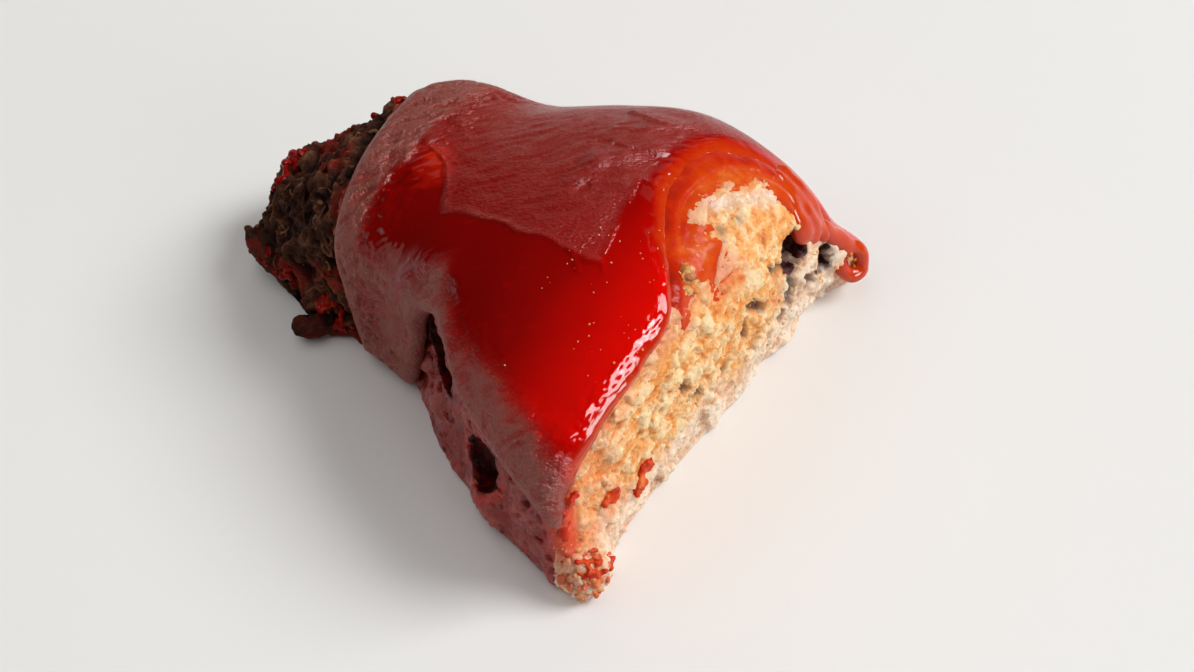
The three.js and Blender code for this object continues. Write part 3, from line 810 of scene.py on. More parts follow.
def crust_form(points):
    """Baked side: low lumps, with round burst pits that have thin raised rims."""
    first, _, number = grains(bend(points * np.array([0.7, 1, 1.1]), 3, 1.4, 34), 3.4, 31)
    pit = (number > 0.4) * (1 - smooth(0.14, 0.32, first))
    rim = (number > 0.4) * np.exp(-((first - 0.36) / 0.07) ** 2)
    lumps = 1.9 * fractal(points, 5.5, 32)
    fine, _, number2 = grains(bend(points, 2, 0.6, 37), 1.9, 35)
    small = (number2 > 0.6) * (1 - smooth(0.15, 0.34, fine))
    height = lumps - 1.2 * pit + 0.3 * rim - 0.5 * small
    # The second value is painted shade: darker in the pits, lighter on the lumps and rims.
    return height, 0.5 + 0.3 * lumps + 0.3 * rim - 0.7 * pit - 0.5 * small


def loaf_relief(points, zones, deep):
    """Height of the crumb, crags and crust over the plain meat, their painted shade and tone, and how much is
    crevice.
    """
    crumb, browned, under = zones["crumb"], zones["browned"], zones["under"]
    crust = (1 - np.clip(crumb + browned, 0, 1)) * (under < 1)
    forms = {name: np.zeros(len(points)) for name in ("height", "crest", "holes")}
    for weight, form in ((crumb, crumb_form), (browned * (1 - crumb), crag_form), (crust, crust_form)):
        here = weight > 0
        for name, value in zip(forms, form(points[here])):
            forms[name][here] += weight[here] * value
    bank = 1.1 * np.exp(-((zones["below"] / 4.5) ** 2)) * smooth(-12, -4, points[:, 0]) * (1 - deep)
    relief = (forms["height"] + bank * (crumb < 0.5)) * (1 - under) * smooth(0, 1.6, points[:, 2])
    return relief * (1 - 0.2 * deep), forms["crest"], forms["holes"]


def loaf_tones(points, zones, cover, deep, crest, holes):
    """What the meat's materials read at each point."""
    crumb, y, z = zones["crumb"], points[:, 1], points[:, 2]
    pale = 0.85 * np.maximum(
        smooth(17, 6, z + 3 * noise(points, 7, 42)),
        smooth(6, 20, y + 4 * noise(points, 6, 45)) * smooth(30, 20, z),
    )
    # Painted highlight: the crumb is painted pale where it glints.
    pale = np.maximum(pale, 0.8 * along(points, GLINTING, 3.5))
    front = 0.75 * along(points, FRONT_RIM, 7) + 0.5 * smooth(28, 34, points[:, 0]) * smooth(-50, -55, y)
    front = front * (0.25 + 0.75 * smooth(8, 17, z + 3 * noise(points, 4, 47)))
    patches = 0.7 * smooth(0.35, 0.6, noise(points, 9, 43)) * zones["browned"]
    wall = (hollow_radius(points, HOLLOWS[3]) - 1.2) / 0.22
    wet_lip = 0.9 * np.exp(-(wall ** 2)) * smooth(22, 15, z)
    fat = 0.3 * smooth(-30, -46, y) * smooth(8, 14, z)
    on_crumb, on_side = [0.6 * cover, front, fat], [front, patches, wet_lip]
    stain = np.where(crumb > 0.5, np.maximum.reduce(on_crumb), np.maximum.reduce(on_side))
    spots = [0.55 * along(points, [spot, np.array(spot) + 0.5], 2.2) for spot in GREY_SPOTS]
    return {
        "crest": np.clip(crest, 0, 1),
        "pale": np.where(crumb > 0.5, pale, 0),
        "wash": 0.8 * along(points, CUT_RIM, 6.5) * (0.65 + 0.35 * noise(points, 2, 46)),
        "wet": np.maximum(along(points, GLINTING, 3), 0.8 * along(points, CUT_RIM, 4)),
        "stain": np.clip(stain, 0, 1),
        # Dark: painted shade inside the hollows and crevices, and the grey spots.
        "dark": np.maximum.reduce([0.97 * deep, 0.85 * holes, *spots]),
    }


# The order of the meat's materials.
SIDE, CUT, END, HOLLOW = range(4)


def build_loaf(materials):
    """The meat: the solid's own form under a fine relief of crumb, crags and crust."""
    points, quads = even_skin(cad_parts["meat"].data.copy(), VOXEL)
    points = relax(points, quads, 14)
    zones = loaf_zones(points)
    normals = point_normals(points, quads)
    cover = film_cover(points, zones)
    deep = hollow_depth(points)
    relief, crest, holes = loaf_relief(points, zones, deep)
    moved = points + normals * relief[:, None]
    moved[:, 2] = np.maximum(moved[:, 2], 0)
    tones = loaf_tones(points, zones, cover, deep, crest, holes)
    loaf = make_piece("baked_loaf", moved, quads, materials[SIDE], "baked_mince", ["meat"], **tones)
    for material in materials[CUT:]:
        loaf.data.materials.append(material)
    centres = points[quads].mean(1)
    wobble = 0.25 * noise(centres, 2.5, 41)
    choices = {
        HOLLOW: deep[quads].mean(1) + 0.8 * wobble > 0.75,
        END: centres[:, 2] < 0.02,
        CUT: zones["crumb"][quads].mean(1) + wobble > 0.5,
    }
    browned = zones["browned"][quads].mean(1) + wobble > 0.5
    kind = np.select([*choices.values(), browned], [*choices, END], SIDE)
    loaf.data.polygons.foreach_set("material_index", kind.astype(np.int32))
    return {
        "skin": points, "normals": normals, "quads": quads, "moved": moved, "kind": kind,
        "cover": cover, "zones": zones,
    }


def build_films(loaf, material):
    """The thin ketchup on the shoulder, along the cut's rim and down the front corner."""
    points, zones = loaf["skin"], loaf["zones"]
    away = zones["from_glaze"]
    terrace = 0.5 * (1 - smooth(2.6, 3.6, away)) + 0.3 * (1 - smooth(5.4, 6.4, away))
    height = 0.5 + terrace + 0.25 * fractal(points, 5, 72) + 0.06 * noise(points, 1.6, 75)
    height = height + 0.5 * (1 - smooth(0.5, 4.5, np.abs(away))) * smooth(34.5, 31, zones["start"])
    height = height - 0.85 * smooth(33, 35, points[:, 0]) * smooth(14, 6, points[:, 1])
    film, faces, used = film_over(points, loaf["normals"], loaf["quads"], loaf["cover"], height)
    thick = 0.3 + 0.3 * (1 - smooth(1.0, 4.0, np.abs(away[used]))) - 0.1 * smooth(22, 12, points[used, 2])
    thick = np.clip(thick + 0.25 * fractal(points[used], 6, 74), 0, 1)
    make_piece("ketchup_film", film, faces, material, "glaze", thick=np.concatenate([thick, thick]))


# ------------------------------------------------------------------ glaze

GLAZE_ROWS, GLAZE_COLUMNS = 301, 397
COARSE = 3


def eased_step(t):
    return mix(t, 0.5 - 0.5 * np.cos(np.pi * t), 0.75)


# Dents, folds, welts and bubbles of the skin: route, width and height.
WELTS = [
    ([(2.7, -5.5, 53), (3.4, -4.4, 53)], 2.6, -0.7),
    ([(0.8, 3.0, 53), (8.3, 12.7, 52.5)], 4.0, 0.5),
    ([(1.5, -4.0, 53), (0.8, 3.0, 53)], 4.2, 0.4),
    ([(5.0, -2.0, 53), (10.0, 8.0, 53)], 4.6, -0.25),
    ([(-10.9, -11.2, 50), (-8.5, -11.5, 50), (-6.3, -10.2, 51)], 1.1, -0.35),
    ([(-45.7, -34.6, 12), (-37.1, -37.5, 17), (-31.4, -38, 17.8), (-25, -38.2, 19.2)], 1.8, -0.7),
    ([(-44, -38, 19), (-34, -39, 23), (-27, -39, 24)], 5.0, 0.7),
    ([(-42, -38, 27.5), (-36, -39, 27), (-31, -40, 29)], 1.6, -0.45),
    ([(-3.8, -42, 41), (0, -44, 40), (4, -48, 38), (7, -51, 35)], 5.0, 0.8),
    ([(-20, -36, 43), (-12, -37, 42), (-7, -37, 45)], 4.0, -0.6),
    ([(10, -52, 40), (16, -53, 42), (24, -54, 40)], 5.0, -0.5),
    ([(-33.8, -36.2, 31.7), (-33.6, -36.2, 31.9)], 2.6, 0.7),
    ([(3.6, -30.9, 49), (3.7, -30.9, 49)], 1.6, 0.12),
    ([(-5, 21.5, 48), (0, 20.8, 49.5), (3.2, 20.6, 50.1), (6.4, 21.5, 50), (9.5, 25, 48.3)], 1.5, 0.6),
    ([(5, 19.5, 50.6), (2, 16, 51.5), (-3, 13.5, 51.5)], 2.2, 0.45),
    ([(-1, 26, 47), (5, 27, 47)], 4.5, -0.6),
    ([(1, 8.5, 53), (3.6, 8.6, 53)], 1.1, -0.5),
    ([(5.5, 9.3, 53), (9.2, 10.8, 53)], 1.0, -0.6),
    ([(-3, 8, 52.5), (-1, 8.4, 52.5)], 1.4, -0.45),
    ([(9.8, 10.5, 53), (11.8, 12.5, 52.5)], 0.9, -0.4),
    ([(-38.1, -26.5, 43.2), (-36.8, -21.6, 45.5), (-36.2, -16.6, 46.9), (-36.5, -13.1, 47.3)], 1.2, 0.45),
    ([(-46, -15.9, 45), (-43, -12.6, 46.1), (-39.8, -9.5, 46.8)], 1.7, -0.45),
    ([(10.9, -18.6, 52.2), (12.6, -19.2, 52.1), (15.2, -21.2, 51.5)], 1.0, 0.3),
    ([(15.4, -18.9, 51.8), (18.2, -16.9, 51.8), (19.3, -18.3, 51.5)], 1.0, 0.3),
]


def glaze_thickness(points, rim_distance, from_cut, taper):
    fold = np.exp(-(((points[..., 2] - FOLD["z"]) / FOLD["spread"]) ** 2))
    front = 1 - smooth(FOLD["full_y"], FOLD["start_y"], points[..., 1])
    full = mix(GLAZE["top"], GLAZE["fold"], fold * front)
    inside = np.clip(np.minimum(rim_distance / GLAZE["lip"], (from_cut + 0.1) / taper), 0, 1)
    least = mix(0.45, GLAZE["rim"], smooth(0, 5, from_cut))
    return mix(least, full, np.sqrt(1 - (1 - inside) ** 2))


# The fold's face, which stays wet, and a lit spot on the crown painted orange as painted light.
FOLD_FACE = [(-38, -37, 22), (-31, -38, 24)]
PAINTED_LIT_SPOT = [(-30.5, -12, 45), (-28, -15, 45)]
# The line (x, y) under which the front side is dull.
SIDE_LINE = np.array([
    [-30, -39], [-20, -33], [-10, -29], [-5, -34], [2, -39.5], [12, -42.5], [24, -45.5], [37, -51],
])


def skin_zone(points, from_cut):
    """Where the glaze's skin is dull and wrinkled, its colour partly dried skin and partly painted sheen:
    round the lip, in the patch on the crown and down the front.
    """
    x, y = points[..., 0], points[..., 1]
    back = smooth(-10, 12, y)
    lip = smooth(0, 1, (mix(-33, -18, back) - x + 1.5 * noise(points, 5, 66)) / mix(5.5, 28, back))
    low = smooth(-16, -24, x) * smooth(37, 32, points[..., 2]) * smooth(-18, -26, y)
    low = low * (1 - 0.8 * along(points, FOLD_FACE, 10))
    inside = crown_patch(points)
    top = mix(0.52, 0.64, smooth(-12, 0, y)) * smooth(-0.7, 1.3, inside) * smooth(4.5, 7.5, from_cut)
    # Painted highlight: a paler band of dull skin along the patch's edge.
    top = top + 0.3 * np.exp(-(((inside - 0.4) / 0.7) ** 2)) * smooth(-8, -12, y) * smooth(10, 0, x)
    return np.clip(np.maximum.reduce([lip, low, 0.95 * side_zone(points), top]), 0, 1)


def side_zone(points):
    """1 on the front side, under a line that drops towards the cut."""
    line = np.interp(points[..., 0], *SIDE_LINE.T)
    return smooth(3.5, -3.5, points[..., 1] - line + 1.2 * noise(points, 7, 65))


def crown_patch(points):
    """Distance inside the dull patch on the crown, whose edge is a shallow step."""
    x, y = points[..., 0], points[..., 1]
    front = y + 19.6 - 0.132 * x
    left = (x + 0.935 * y + 39.3) / 1.369 + 9 * smooth(-13, -8, y)
    right = 0.956 * (12.4 - 0.305 * y - x) + 40 * smooth(3, 11, y)
    return np.minimum(np.minimum(front, left), right) + 0.8 * noise(points, 5, 57)


def wrinkles(points):
    """Fine folds of the drying skin, from -1 in the creases to 1 on the ridges."""
    turned = np.stack([
        points[..., 0] * 0.65 + points[..., 1] * 0.76,
        points[..., 0] * 0.76 - points[..., 1] * 0.65,
        points[..., 2],
    ], axis=-1)
    return 1 - 2 * np.abs(fractal(bend(turned, 9, 1.5, 53) / np.array([4.0, 1.0, 1.6]), 1.6, 51, 3))


def glaze_relief(points, from_cut):
    """Welts, dents and wrinkles of the glaze."""
    height = sum(h * along(points, route, w) for route, w, h in WELTS)
    inside = crown_patch(points)
    crown = smooth(46, 48.5, points[..., 2]) * smooth(-36, -30, points[..., 0])
    height = height + crown * (0.22 * np.exp(-((inside / 0.8) ** 2)) - 0.06 * np.clip(inside, 0, 7))
    wrinkle = wrinkles(points)
    end = smooth(-22, -38, points[..., 0])
    front = side_zone(points)
    top = crown * smooth(0, 4, inside)
    chips = smooth(0.3, 1.5, from_cut) * smooth(7.5, 3.5, from_cut) * smooth(6, -4, points[..., 1])
    return (
        height + wrinkle * (0.8 * end + 0.4 * front + 0.24 * top) + 0.3 * noise(points, 14, 52)
        + 0.4 * chips * fractal(points, 1.8, 56, 3)
    )


def glaze_tones(base, skin_points, from_cut, behind):
    """What the glaze's material reads at each point."""
    rim = 0.75 * (1 - smooth(1.0, 7.0, from_cut + 1.2 * noise(base, 6, 60))) * behind
    corner = mix(0.4, 1, smooth(-57, -50, base[..., 1]))
    edge = 0.62 * corner * (1 - smooth(0.2, 2.2, from_cut + 0.5 * noise(base, 3, 64)))
    skin = skin_zone(base, from_cut)
    return {
        # Thin glaze at the rims, plus the painted lit spot on the crown.
        "thin": np.maximum.reduce([rim, edge, 0.32 * along(base, PAINTED_LIT_SPOT, 7)]),
        "skin": skin,
        # Painted highlight on the wrinkles' crests.
        "ridge": skin ** 2 * smooth(0.2, 1.0, wrinkles(skin_points)),
        # Painted light: lighter towards the cut, darker at the front corner.
        "bright": smooth(-4, 34, base[..., 0]) * mix(0.2, 1, smooth(-54, -44, base[..., 1])),
    }


def build_glaze(material):
    """The ketchup layer, a fine outer sheet joined to a coarse inner one; gives the outer one."""
    along_x = eased_step(np.linspace(0, 1, GLAZE_ROWS))[:, None]
    t = eased_step(np.linspace(0, 1, GLAZE_COLUMNS))[None]
    low, high = edge_shares(mix(CUT_X, GLAZE_END_X, along_x))
    v = mix(MEAN_LOW, MEAN_HIGH, t) + (low - MEAN_LOW) * (1 - t) ** 4 + (high - MEAN_HIGH) * t ** 4
    edge = plain_point(np.full(v.shape, CUT_X), v)
    edge = 0.4 * noise(edge, 4.5, 58) + 0.12 * noise(edge, 1.2, 59)
    x = mix(cut_start(v) + edge, glaze_end(v), along_x)
    base = plain_point(x, v)
    normals = outward(x, v)
    from_cut, *from_rims = (
        np.linalg.norm(base - side, axis=-1) for side in (base[:1], base[-1:], base[:, :1], base[:, -1:])
    )
    rim = np.minimum.reduce(from_rims)
    behind = smooth(3, 12, CUT_X - x[:1])
    thick = glaze_thickness(base, rim, from_cut, mix(6.5, 13, behind))
    smooth_skin = base + normals * (GLAZE["gap"] + thick)[..., None]
    relief = glaze_relief(smooth_skin, from_cut) * smooth(0, 5, np.minimum(rim, from_cut + 2))
    outer = base + normals * (GLAZE["gap"] + thick + relief)[..., None]
    inner = (base + normals * GLAZE["gap"])[::COARSE, ::COARSE]
    rows, columns = inner.shape[:2]
    start = GLAZE_ROWS * GLAZE_COLUMNS
    fine = grid_faces(GLAZE_ROWS, GLAZE_COLUMNS)[:, ::-1]
    coarse = grid_faces(rows, columns) + start
    faces = [*fine.tolist(), *coarse.tolist(), *rim_faces(rows, columns, start)]
    points = np.concatenate([outer.reshape(-1, 3), inner.reshape(-1, 3)])
    tones = {
        name: np.concatenate([tone.ravel(), tone[::COARSE, ::COARSE].ravel()])
        for name, tone in glaze_tones(base, smooth_skin, from_cut, behind).items()
    }
    make_piece("ketchup_coat", points, faces, material, "glaze", ["ketchup_glaze"], **tones)
    return outer


def rim_faces(rows, columns, start):
    """Joins the fine outer sheet to the coarse inner one all round, with many-cornered faces."""
    fine = np.arange(start).reshape(GLAZE_ROWS, GLAZE_COLUMNS)
    coarse = np.arange(rows * columns).reshape(rows, columns) + start
    faces = []
    for outer, inner, turned in ((fine, coarse, False), (fine.T, coarse.T, True)):
        for k in range(len(inner) - 1):
            for side, flip in ((0, turned), (-1, not turned)):
                face = [*outer[k * COARSE : (k + 1) * COARSE + 1, side], *inner[[k + 1, k], side]]
                faces.append(face[::-1] if flip else face)
    return faces


# ------------------------------------------------------- drips and red bits

# Rows of balls (x, y, z, radius) that the soft drips are drawn round: the hood over the hollows, and
# the run of glaze down to the ring round the knob.
HOOD = [
    [
        (25, 33, 37, 2.0), (28.6, 33.5, 33.5, 2.2), (31.6, 33.8, 29.5, 2.3), (33.6, 33.5, 25.5, 2.0),
        (35, 34.5, 21.5, 1.8),
    ],
    [
        (25.5, 30.5, 38, 1.8), (29, 30.8, 34.8, 2.1), (32, 31.2, 31, 2.3), (34, 31, 27.5, 2.4),
        (35, 30.5, 24.8, 2.1),
    ],
    [(28, 28.5, 37, 1.9), (31, 28.2, 33.8, 2.3), (33.3, 28, 30.5, 2.5), (34.6, 28, 27.5, 2.2)],
    [(33.2, 26.2, 31.2, 1.5), (34.2, 26.4, 29.2, 1.7), (34.8, 27, 27.5, 1.8)],
]
KNOB_RUN = [(34, 34.8, 23.5, 2.0), (35, 37, 19.5, 2.3), (36.2, 39.2, 16, 2.4), (37.4, 40.6, 13.4, 2.0)]
KNOB_MIDDLE = np.array([38.8, 40.1, 9.9])
# The ring's two directions and the radius of its balls, then its reach along each direction.
KNOB_RING = {"across": np.array([0.49, 0.87, 0]), "up": np.array([-0.35, 0.2, 0.92]), "radius": 1.75}
RING_REACH = (2.7, 3.8)


def knob_ring():
    """A closed ring of balls round the knob."""
    turn = np.linspace(0, 2 * np.pi, 25)[:, None]
    places = KNOB_MIDDLE + RING_REACH[0] * np.cos(turn) * KNOB_RING["across"]
    places = places + RING_REACH[1] * np.sin(turn) * KNOB_RING["up"]
    return np.hstack([places, np.full((len(places), 1), KNOB_RING["radius"])])


def build_drips(material):
    """The soft hood over the cut's hollows, and the run and ring of glaze at the knob."""
    for name, rows in (("shoulder_drip", HOOD), ("knob_glaze", [KNOB_RUN, knob_ring()])):
        balls = np.concatenate([row_of_balls(row) for row in rows])
        points, quads, _ = blob_skin(balls, 0.35, 24, 0.25, 3.0, 81, 1)
        thin = np.clip(0.8 + 0.3 * noise(points, 5, 82), 0, 1.2)
        # The drips take a middle share of the painted light.
        make_piece(name, points, quads, material, "glaze", thin=thin, bright=0.6)


# --------------------------------------------- crumbs, strands and clots

EDGE_CLUMP, FRONT_TIP = (32.2, -8.3, 46.4), (40, -55, 5.5)


def scatter_on(points, quads, chosen, count, rng):
    """Random places and outward directions on the chosen faces, even by area."""
    faces = quads[chosen]
    corners = points[faces]
    across = np.cross(corners[:, 2] - corners[:, 0], corners[:, 3] - corners[:, 1])
    area = np.linalg.norm(across, axis=1)
    picked = rng.choice(len(faces), count, p=area / area.sum())
    weights = rng.dirichlet(np.ones(4), count)
    return np.einsum("nk,nkd->nd", weights, corners[picked]), unit(across)[picked]


def near_to(points, middle, reach):
    return np.linalg.norm(points - np.array(middle), axis=-1) < reach


def build_curds(loaf, material):
    """Loose flakes and crumbs that stand on the torn crumb, and clumps of them at the wet rims."""
    rng = np.random.default_rng(5)
    points, quads = loaf["moved"], loaf["quads"]
    centres = points[quads].mean(1)
    cut = (loaf["kind"] == CUT) & (loaf["cover"][quads].max(1) < 0.25) & (hollow_depth(centres) < 0.3)
    for name, chosen, count, low, high, detail, lift in (
        ("cut_curds", cut, 160, 0.35, 0.9, 2, -0.4),
        ("cut_crumbs", cut, 1300, 0.14, 0.38, 1, -0.3),
        ("edge_clump", near_to(centres, EDGE_CLUMP, 2.7), 46, 0.6, 1.15, 2, 0.8),
        ("tip_crumbs", near_to(centres, FRONT_TIP, 6.5), 95, 0.3, 1.1, 2, -0.2),
        ("knob_crumbs", near_to(centres, KNOB_MIDDLE, 2.6), 24, 0.45, 0.95, 2, 0.6),
    ):
        places, normals = scatter_on(points, quads, chosen, count, rng)
        sizes = rng.uniform(low, high, count)
        lifted = places + normals * (lift * sizes)[:, None]
        grown, faces, number = uneven_grains(lifted, sizes, detail, rng, 61, (0.35, 1.3))
        caught = "cut" not in name
        crest = rng.uniform(0.0, 0.6, count) if caught else rng.uniform(0.45, 1, count)
        pale = rng.uniform(0, 0.3, count) if caught else smooth(16, 4, places[:, 2])
        dark = 0.4 * (name == "edge_clump") * (rng.random(count) < 0.3)
        stain = 0.85 * (name == "tip_crumbs") * rng.random(count)
        make_piece(
            name, grown, faces, material, "baked_mince", crest=crest[number], pale=pale[number],
            dark=dark[number], stain=stain[number], wet=0.8 * caught,
        )


def walk_strands(skin, normals, count, steps, stride, rng):
    """Curly routes over the skin: places and outward directions, strand by strand."""
    tree = KDTree(len(skin))
    for k, point in enumerate(skin):
        tree.insert(point, k)
    tree.balance()
    here = rng.integers(0, len(skin), count)
    places, facing = skin[here], normals[here]
    heading = unit(np.cross(facing, rng.normal(size=(count, 3))))
    turning = rng.normal(0, 0.25, count)
    route, outwards = [places], [facing]
    for _ in range(steps - 1):
        turning = 0.8 * turning + rng.normal(0, 0.18, count)
        sideways = np.cross(facing, heading)
        heading = unit(heading + turning[:, None] * sideways)
        near = np.array([tree.find(place)[1] for place in places + heading * stride])
        facing = unit(facing + normals[near])
        places = mix(places + heading * stride, skin[near], 0.5)
        heading = unit(heading - (heading * facing).sum(1, keepdims=True) * facing)
        route.append(places)
        outwards.append(facing)
    return np.stack(route, axis=1), np.stack(outwards, axis=1)


def tubes(route, outwards, radii, sides):
    """Closed tubes with pinched ends along the routes."""
    count, steps = route.shape[:2]
    ahead = unit(np.gradient(route, axis=1))
    across = unit(np.cross(ahead, outwards))
    up = np.cross(across, ahead)
    t = np.linspace(-1, 1, steps)
    width = radii[:, None] * np.sqrt(np.maximum(1 - t ** 4, 0.04))[None]
    angle = np.linspace(0, 2 * np.pi, sides, endpoint=False)
    ring = np.cos(angle)[:, None] * across[:, :, None] + np.sin(angle)[:, None] * up[:, :, None]
    points = route[:, :, None] + ring * width[:, :, None, None]
    k, s, a = np.meshgrid(np.arange(count), np.arange(steps - 1), np.arange(sides), indexing="ij")
    first = (k * steps + s) * sides
    b = (a + 1) % sides
    quads = np.stack([first + a, first + sides + a, first + sides + b, first + b], axis=-1).reshape(-1, 4)
    caps = []
    for start in range(0, count * steps * sides, steps * sides):
        end = start + (steps - 1) * sides
        caps.append(list(range(start, start + sides)))
        caps.append(list(range(end + sides - 1, end - 1, -1)))
    return points.reshape(-1, 3), [*quads.tolist(), *caps]


def build_strands(loaf, material, sides=8):
    """Strands of mince that baked hard on the browned end."""
    rng = np.random.default_rng(9)
    bare = (loaf["zones"]["browned"] > 0.9) & (loaf["moved"][:, 2] > 2)
    route, outwards = walk_strands(loaf["moved"][bare], loaf["normals"][bare], 190, 11, 0.55, rng)
    points, faces = tubes(route, outwards, rng.uniform(0.2, 0.5, len(route)), sides)
    points = bend(points, 1.1, 0.4, 91)
    tone = np.repeat(rng.uniform(0.35, 1.0, len(route)), route.shape[1] * sides)
    crest = np.clip(tone + 0.2 * noise(points, 1.5, 94), 0, 1)
    make_piece("browned_strands", points, faces, material, "baked_mince", crest=crest)


# Rows of balls for the torn flap and the nub at the foot of the browned end.
END_FLAPS = [
    [(-70, -32.5, 5, 2.8), (-73.5, -33, 7, 2.5), (-76.5, -33, 9.8, 2.0), (-78.6, -32.6, 12.4, 1.0)],
    [(-51.5, -39.5, 3.4, 2.4), (-53.6, -41.4, 3.4, 2.9), (-54.4, -42, 3.8, 2.6)],
]


def build_end_flaps(material):
    """The torn flap and the nub of browned meat."""
    for k, row in enumerate(END_FLAPS):
        points, quads, height = blob_skin(row_of_balls(row), 0.35, 6, 0.9, 2.4, 87, 3)
        # Painted shade: the flaps are darker where their lumps sink.
        crest = np.clip(0.5 + 0.4 * height, 0, 1)
        stain = (0.75 - 0.5 * k) * smooth(-0.2, 0.4, noise(points, 3, 88))
        make_piece(f"browned_flap_{k}", points, quads, material, "baked_mince", crest=crest, stain=stain)


# Wet clots of ketchup and onion on the browned end, and on the cut and its front tip.  Clusters have a
# middle, a reach and a count; lumps are the depth, pitch, seed and layers of the clots' own relief.
END_BITS = {
    "clusters": [
        ((-76.8, -15, 21), 3.2, 50), ((-76.5, -21, 20), 2.6, 30), ((-77.5, -32, 9), 3.2, 34),
        ((-73, -33.5, 7.5), 3.0, 22), ((-66, -34.4, 8), 3.0, 10), ((-50, -36, 8), 3.4, 34),
        ((-46.5, -36, 5), 3.0, 26), ((-56, 1, 39), 1.6, 9), ((-63, -1, 31), 1.5, 4),
    ],
    "seed": 12, "sizes": (0.4, 1.1), "rounds": 5, "lumps": (0.55, 1.5, 85, 2),
}
TIP_BITS = {
    "clusters": [
        ((37, -31.6, 13), 2.2, 40), ((37, -34.6, 10.9), 2.1, 34), ((37, -42, 16.4), 1.9, 26),
        ((37, -44.3, 17.8), 1.4, 12), ((37, -53.3, 29.2), 1.6, 14), ((41, -54.5, 9.5), 3.2, 34),
        ((38.5, -57, 12.5), 2.4, 8), ((37, -57, 27), 1.8, 7), ((42, -51, 6), 2.2, 5),
    ],
    "seed": 21, "sizes": (0.35, 1.0), "rounds": 6, "lumps": (0.4, 1.6, 89, 2),
}


def clot_skin(loaf, clusters, seed, sizes, rounds, lumps):
    """One skin round balls that sit on the meat, round the middle of each cluster."""
    rng = np.random.default_rng(seed)
    balls = []
    for centre, reach, count in clusters:
        gap = np.linalg.norm(loaf["moved"] - np.array(centre), axis=1)
        near = np.flatnonzero(gap < max(reach, gap.min() + 0.5))
        for k in rng.choice(near, count):
            radius = rng.uniform(*sizes) * (1.3 - 0.6 * gap[k] / reach)
            place = loaf["moved"][k] + loaf["normals"][k] * rng.uniform(-0.3, 0.9)
            balls.append((*place[:2], max(place[2], radius + 0.1), radius))
    points, quads, _ = blob_skin(balls, 0.3, rounds, *lumps)
    return points, quads


def build_end_bits(loaf, material):
    """Ragged clots of ketchup and onion that caught on the browned end."""
    points, quads = clot_skin(loaf, **END_BITS)
    thick = np.clip(1.05 + 0.35 * noise(points, 3, 86), 0, 1.25)
    make_piece("browned_end_bits", points, quads, material, "glaze", thick=thick)


def build_tip_lumps(loaf, material):
    """Small wet clots of ketchup and onion on the cut and the tip."""
    points, quads = clot_skin(loaf, **TIP_BITS)
    thick = np.clip(0.35 + 0.5 * noise(points, 2.6, 90), 0, 1)
    make_piece("tip_lumps", points, quads, material, "glaze", thick=thick)


def build_specks(outer, material):
    """Specks of orange fat on the glaze near the cut."""
    rng = np.random.default_rng(15)
    flat = outer.reshape(-1, 3)
    near = (flat[:, 0] > 9) & (flat[:, 1] < 5) & (flat[:, 2] > 38)
    near = np.flatnonzero(near & (noise(flat, 7, 63) > 0.1))
    places = flat[rng.choice(near, 58)]
    grown, faces, _ = uneven_grains(places, rng.uniform(0.05, 0.24, len(places)), 1, rng, 62)
    make_piece("fat_specks", grown, faces, material, "baked_mince", crest=0.6)


# -------------------------------------------------------------------- set

# The camera, the panels and the floor are placed in metres and degrees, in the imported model's frame.
EYE = Vector((0.21500, -0.19185, 0.35365))
VIEW_AZIMUTH, VIEW_ELEVATION, VIEW_ROLL = 45.0, -52.1, -7.81
LENS, SENSOR = 60.3, 36.0


def set_camera():
    azimuth, elevation, roll = map(math.radians, (VIEW_AZIMUTH, VIEW_ELEVATION, VIEW_ROLL))
    level = Vector((math.cos(azimuth), math.sin(azimuth), 0))
    ahead = Vector((-level.y, level.x, 0)) * math.cos(elevation) + Vector((0, 0, math.sin(elevation)))
    raised = level.cross(ahead)
    right = level * math.cos(roll) + raised * math.sin(roll)
    up = right.cross(ahead)
    data = bpy.data.cameras.new("camera")
    data.lens, data.sensor_width = LENS, SENSOR
    data.clip_start, data.clip_end = 0.01, 20
    camera = put_in_scene("camera", data)
    turn = Matrix((right, up, -ahead)).transposed().to_4x4()
    camera.matrix_world = Matrix.Translation(EYE) @ turn
    bpy.context.scene.camera = camera


# What the panels face: the middle of the loaf, a little above the floor.
AIM = Vector((0, 0, 0.02))


def add_panel(
    name, azimuth, elevation, distance, size, radiance, tint="#FFFFFF", mirrored=True, lights=True,
):
    """A soft rectangular panel that faces the loaf: seen in the gloss, lighting it, or both."""
    azimuth, elevation = math.radians(azimuth), math.radians(elevation)
    level = math.cos(elevation)
    way = Vector((math.cos(azimuth) * level, math.sin(azimuth) * level, math.sin(elevation)))
    data = bpy.data.lights.new(name, "AREA")
    data.shape = "RECTANGLE"
    data.size, data.size_y = size
    data.color = linear(tint)[:3]
    data.energy = radiance * math.pi * size[0] * size[1]
    light = put_in_scene(name, data)
    light.location = AIM + way * distance
    light.rotation_euler = way.to_track_quat("Z", "Y").to_euler()
    light.visible_glossy, light.visible_diffuse = mirrored, lights


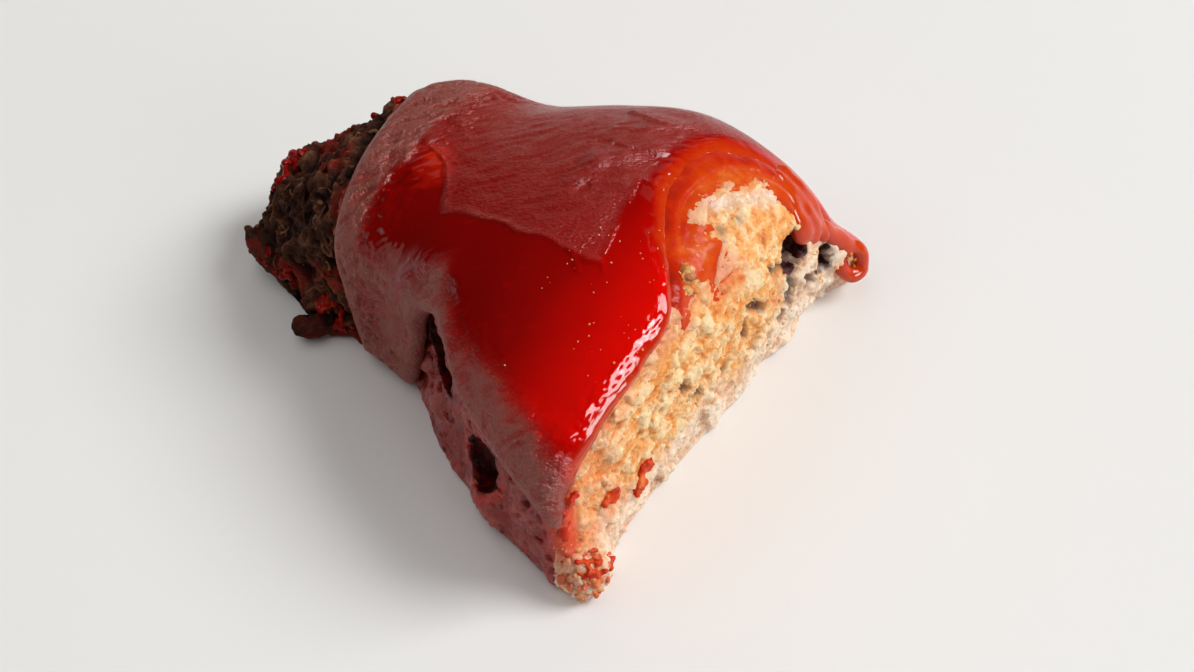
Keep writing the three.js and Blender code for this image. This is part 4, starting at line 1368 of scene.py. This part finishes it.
def set_world():
    """A dim room: pale near the floor and dark overhead."""
    world = bpy.data.worlds.new("room")
    bpy.context.scene.world = world
    world.use_nodes = True
    add = partial(add_node, world.node_tree)
    height = add("SeparateXYZ", add("TexCoord", out="Generated"), out="Z")
    colour = add("ValToRGB", height, stops={0.0: "#B4B4B4", 0.08: "#808080", 0.2: "#303030", 1.0: "#262626"})
    add(world.node_tree.nodes["Background"], Color=colour, Strength=1.0)


FLOOR_HALF, FLOOR_SEGMENTS, FLOOR_DROP = 1.6, 24, 0.0002


def build_floor(material):
    mesh = bpy.data.meshes.new("floor")
    shape = bmesh.new()
    bmesh.ops.create_grid(shape, x_segments=FLOOR_SEGMENTS, y_segments=FLOOR_SEGMENTS, size=FLOOR_HALF)
    shape.to_mesh(mesh)
    shape.free()
    mesh.materials.append(material)
    floor = put_in_scene("floor", mesh)
    floor.location.z = -FLOOR_DROP


bpy.context.scene.view_settings.view_transform = "Standard"
set_camera()
set_world()
add_panel("key", 42, 42, 3.0, (1.4, 1.4), 12.4)
add_panel("glint", 4, 56, 1.5, (1.3, 0.5), 15, lights=False)
add_panel("glint_low", -8, 24, 1.5, (0.5, 0.5), 15, lights=False)
WARM_WHITE = "#FFF1E1"
add_panel("window", 127, 29, 1.0, (1.0, 0.98), 0.4, WARM_WHITE)
add_panel("card", -121, 7, 1.0, (1.0, 0.4), 0.7, WARM_WHITE)
add_panel("fill", -150, 70, 1.8, (2.2, 2.2), 0.9, mirrored=False)
add_panel("cut_fill", 0, 22, 1.6, (0.9, 0.6), 2.0, mirrored=False)
build_floor(pale_floor())
CRUMB, FILM, BROWNED = baked_crumb(), thin_ketchup(), browned_crust()
LOAF = build_loaf([side_crust(), CRUMB, BROWNED, shaded_hollow()])
build_films(LOAF, FILM)
GLAZE_SKIN = ketchup_glaze()
build_specks(build_glaze(GLAZE_SKIN), CRUMB)
build_drips(GLAZE_SKIN)
build_curds(LOAF, CRUMB)
build_strands(LOAF, BROWNED)
build_end_bits(LOAF, FILM)
build_end_flaps(BROWNED)
build_tip_lumps(LOAF, FILM)
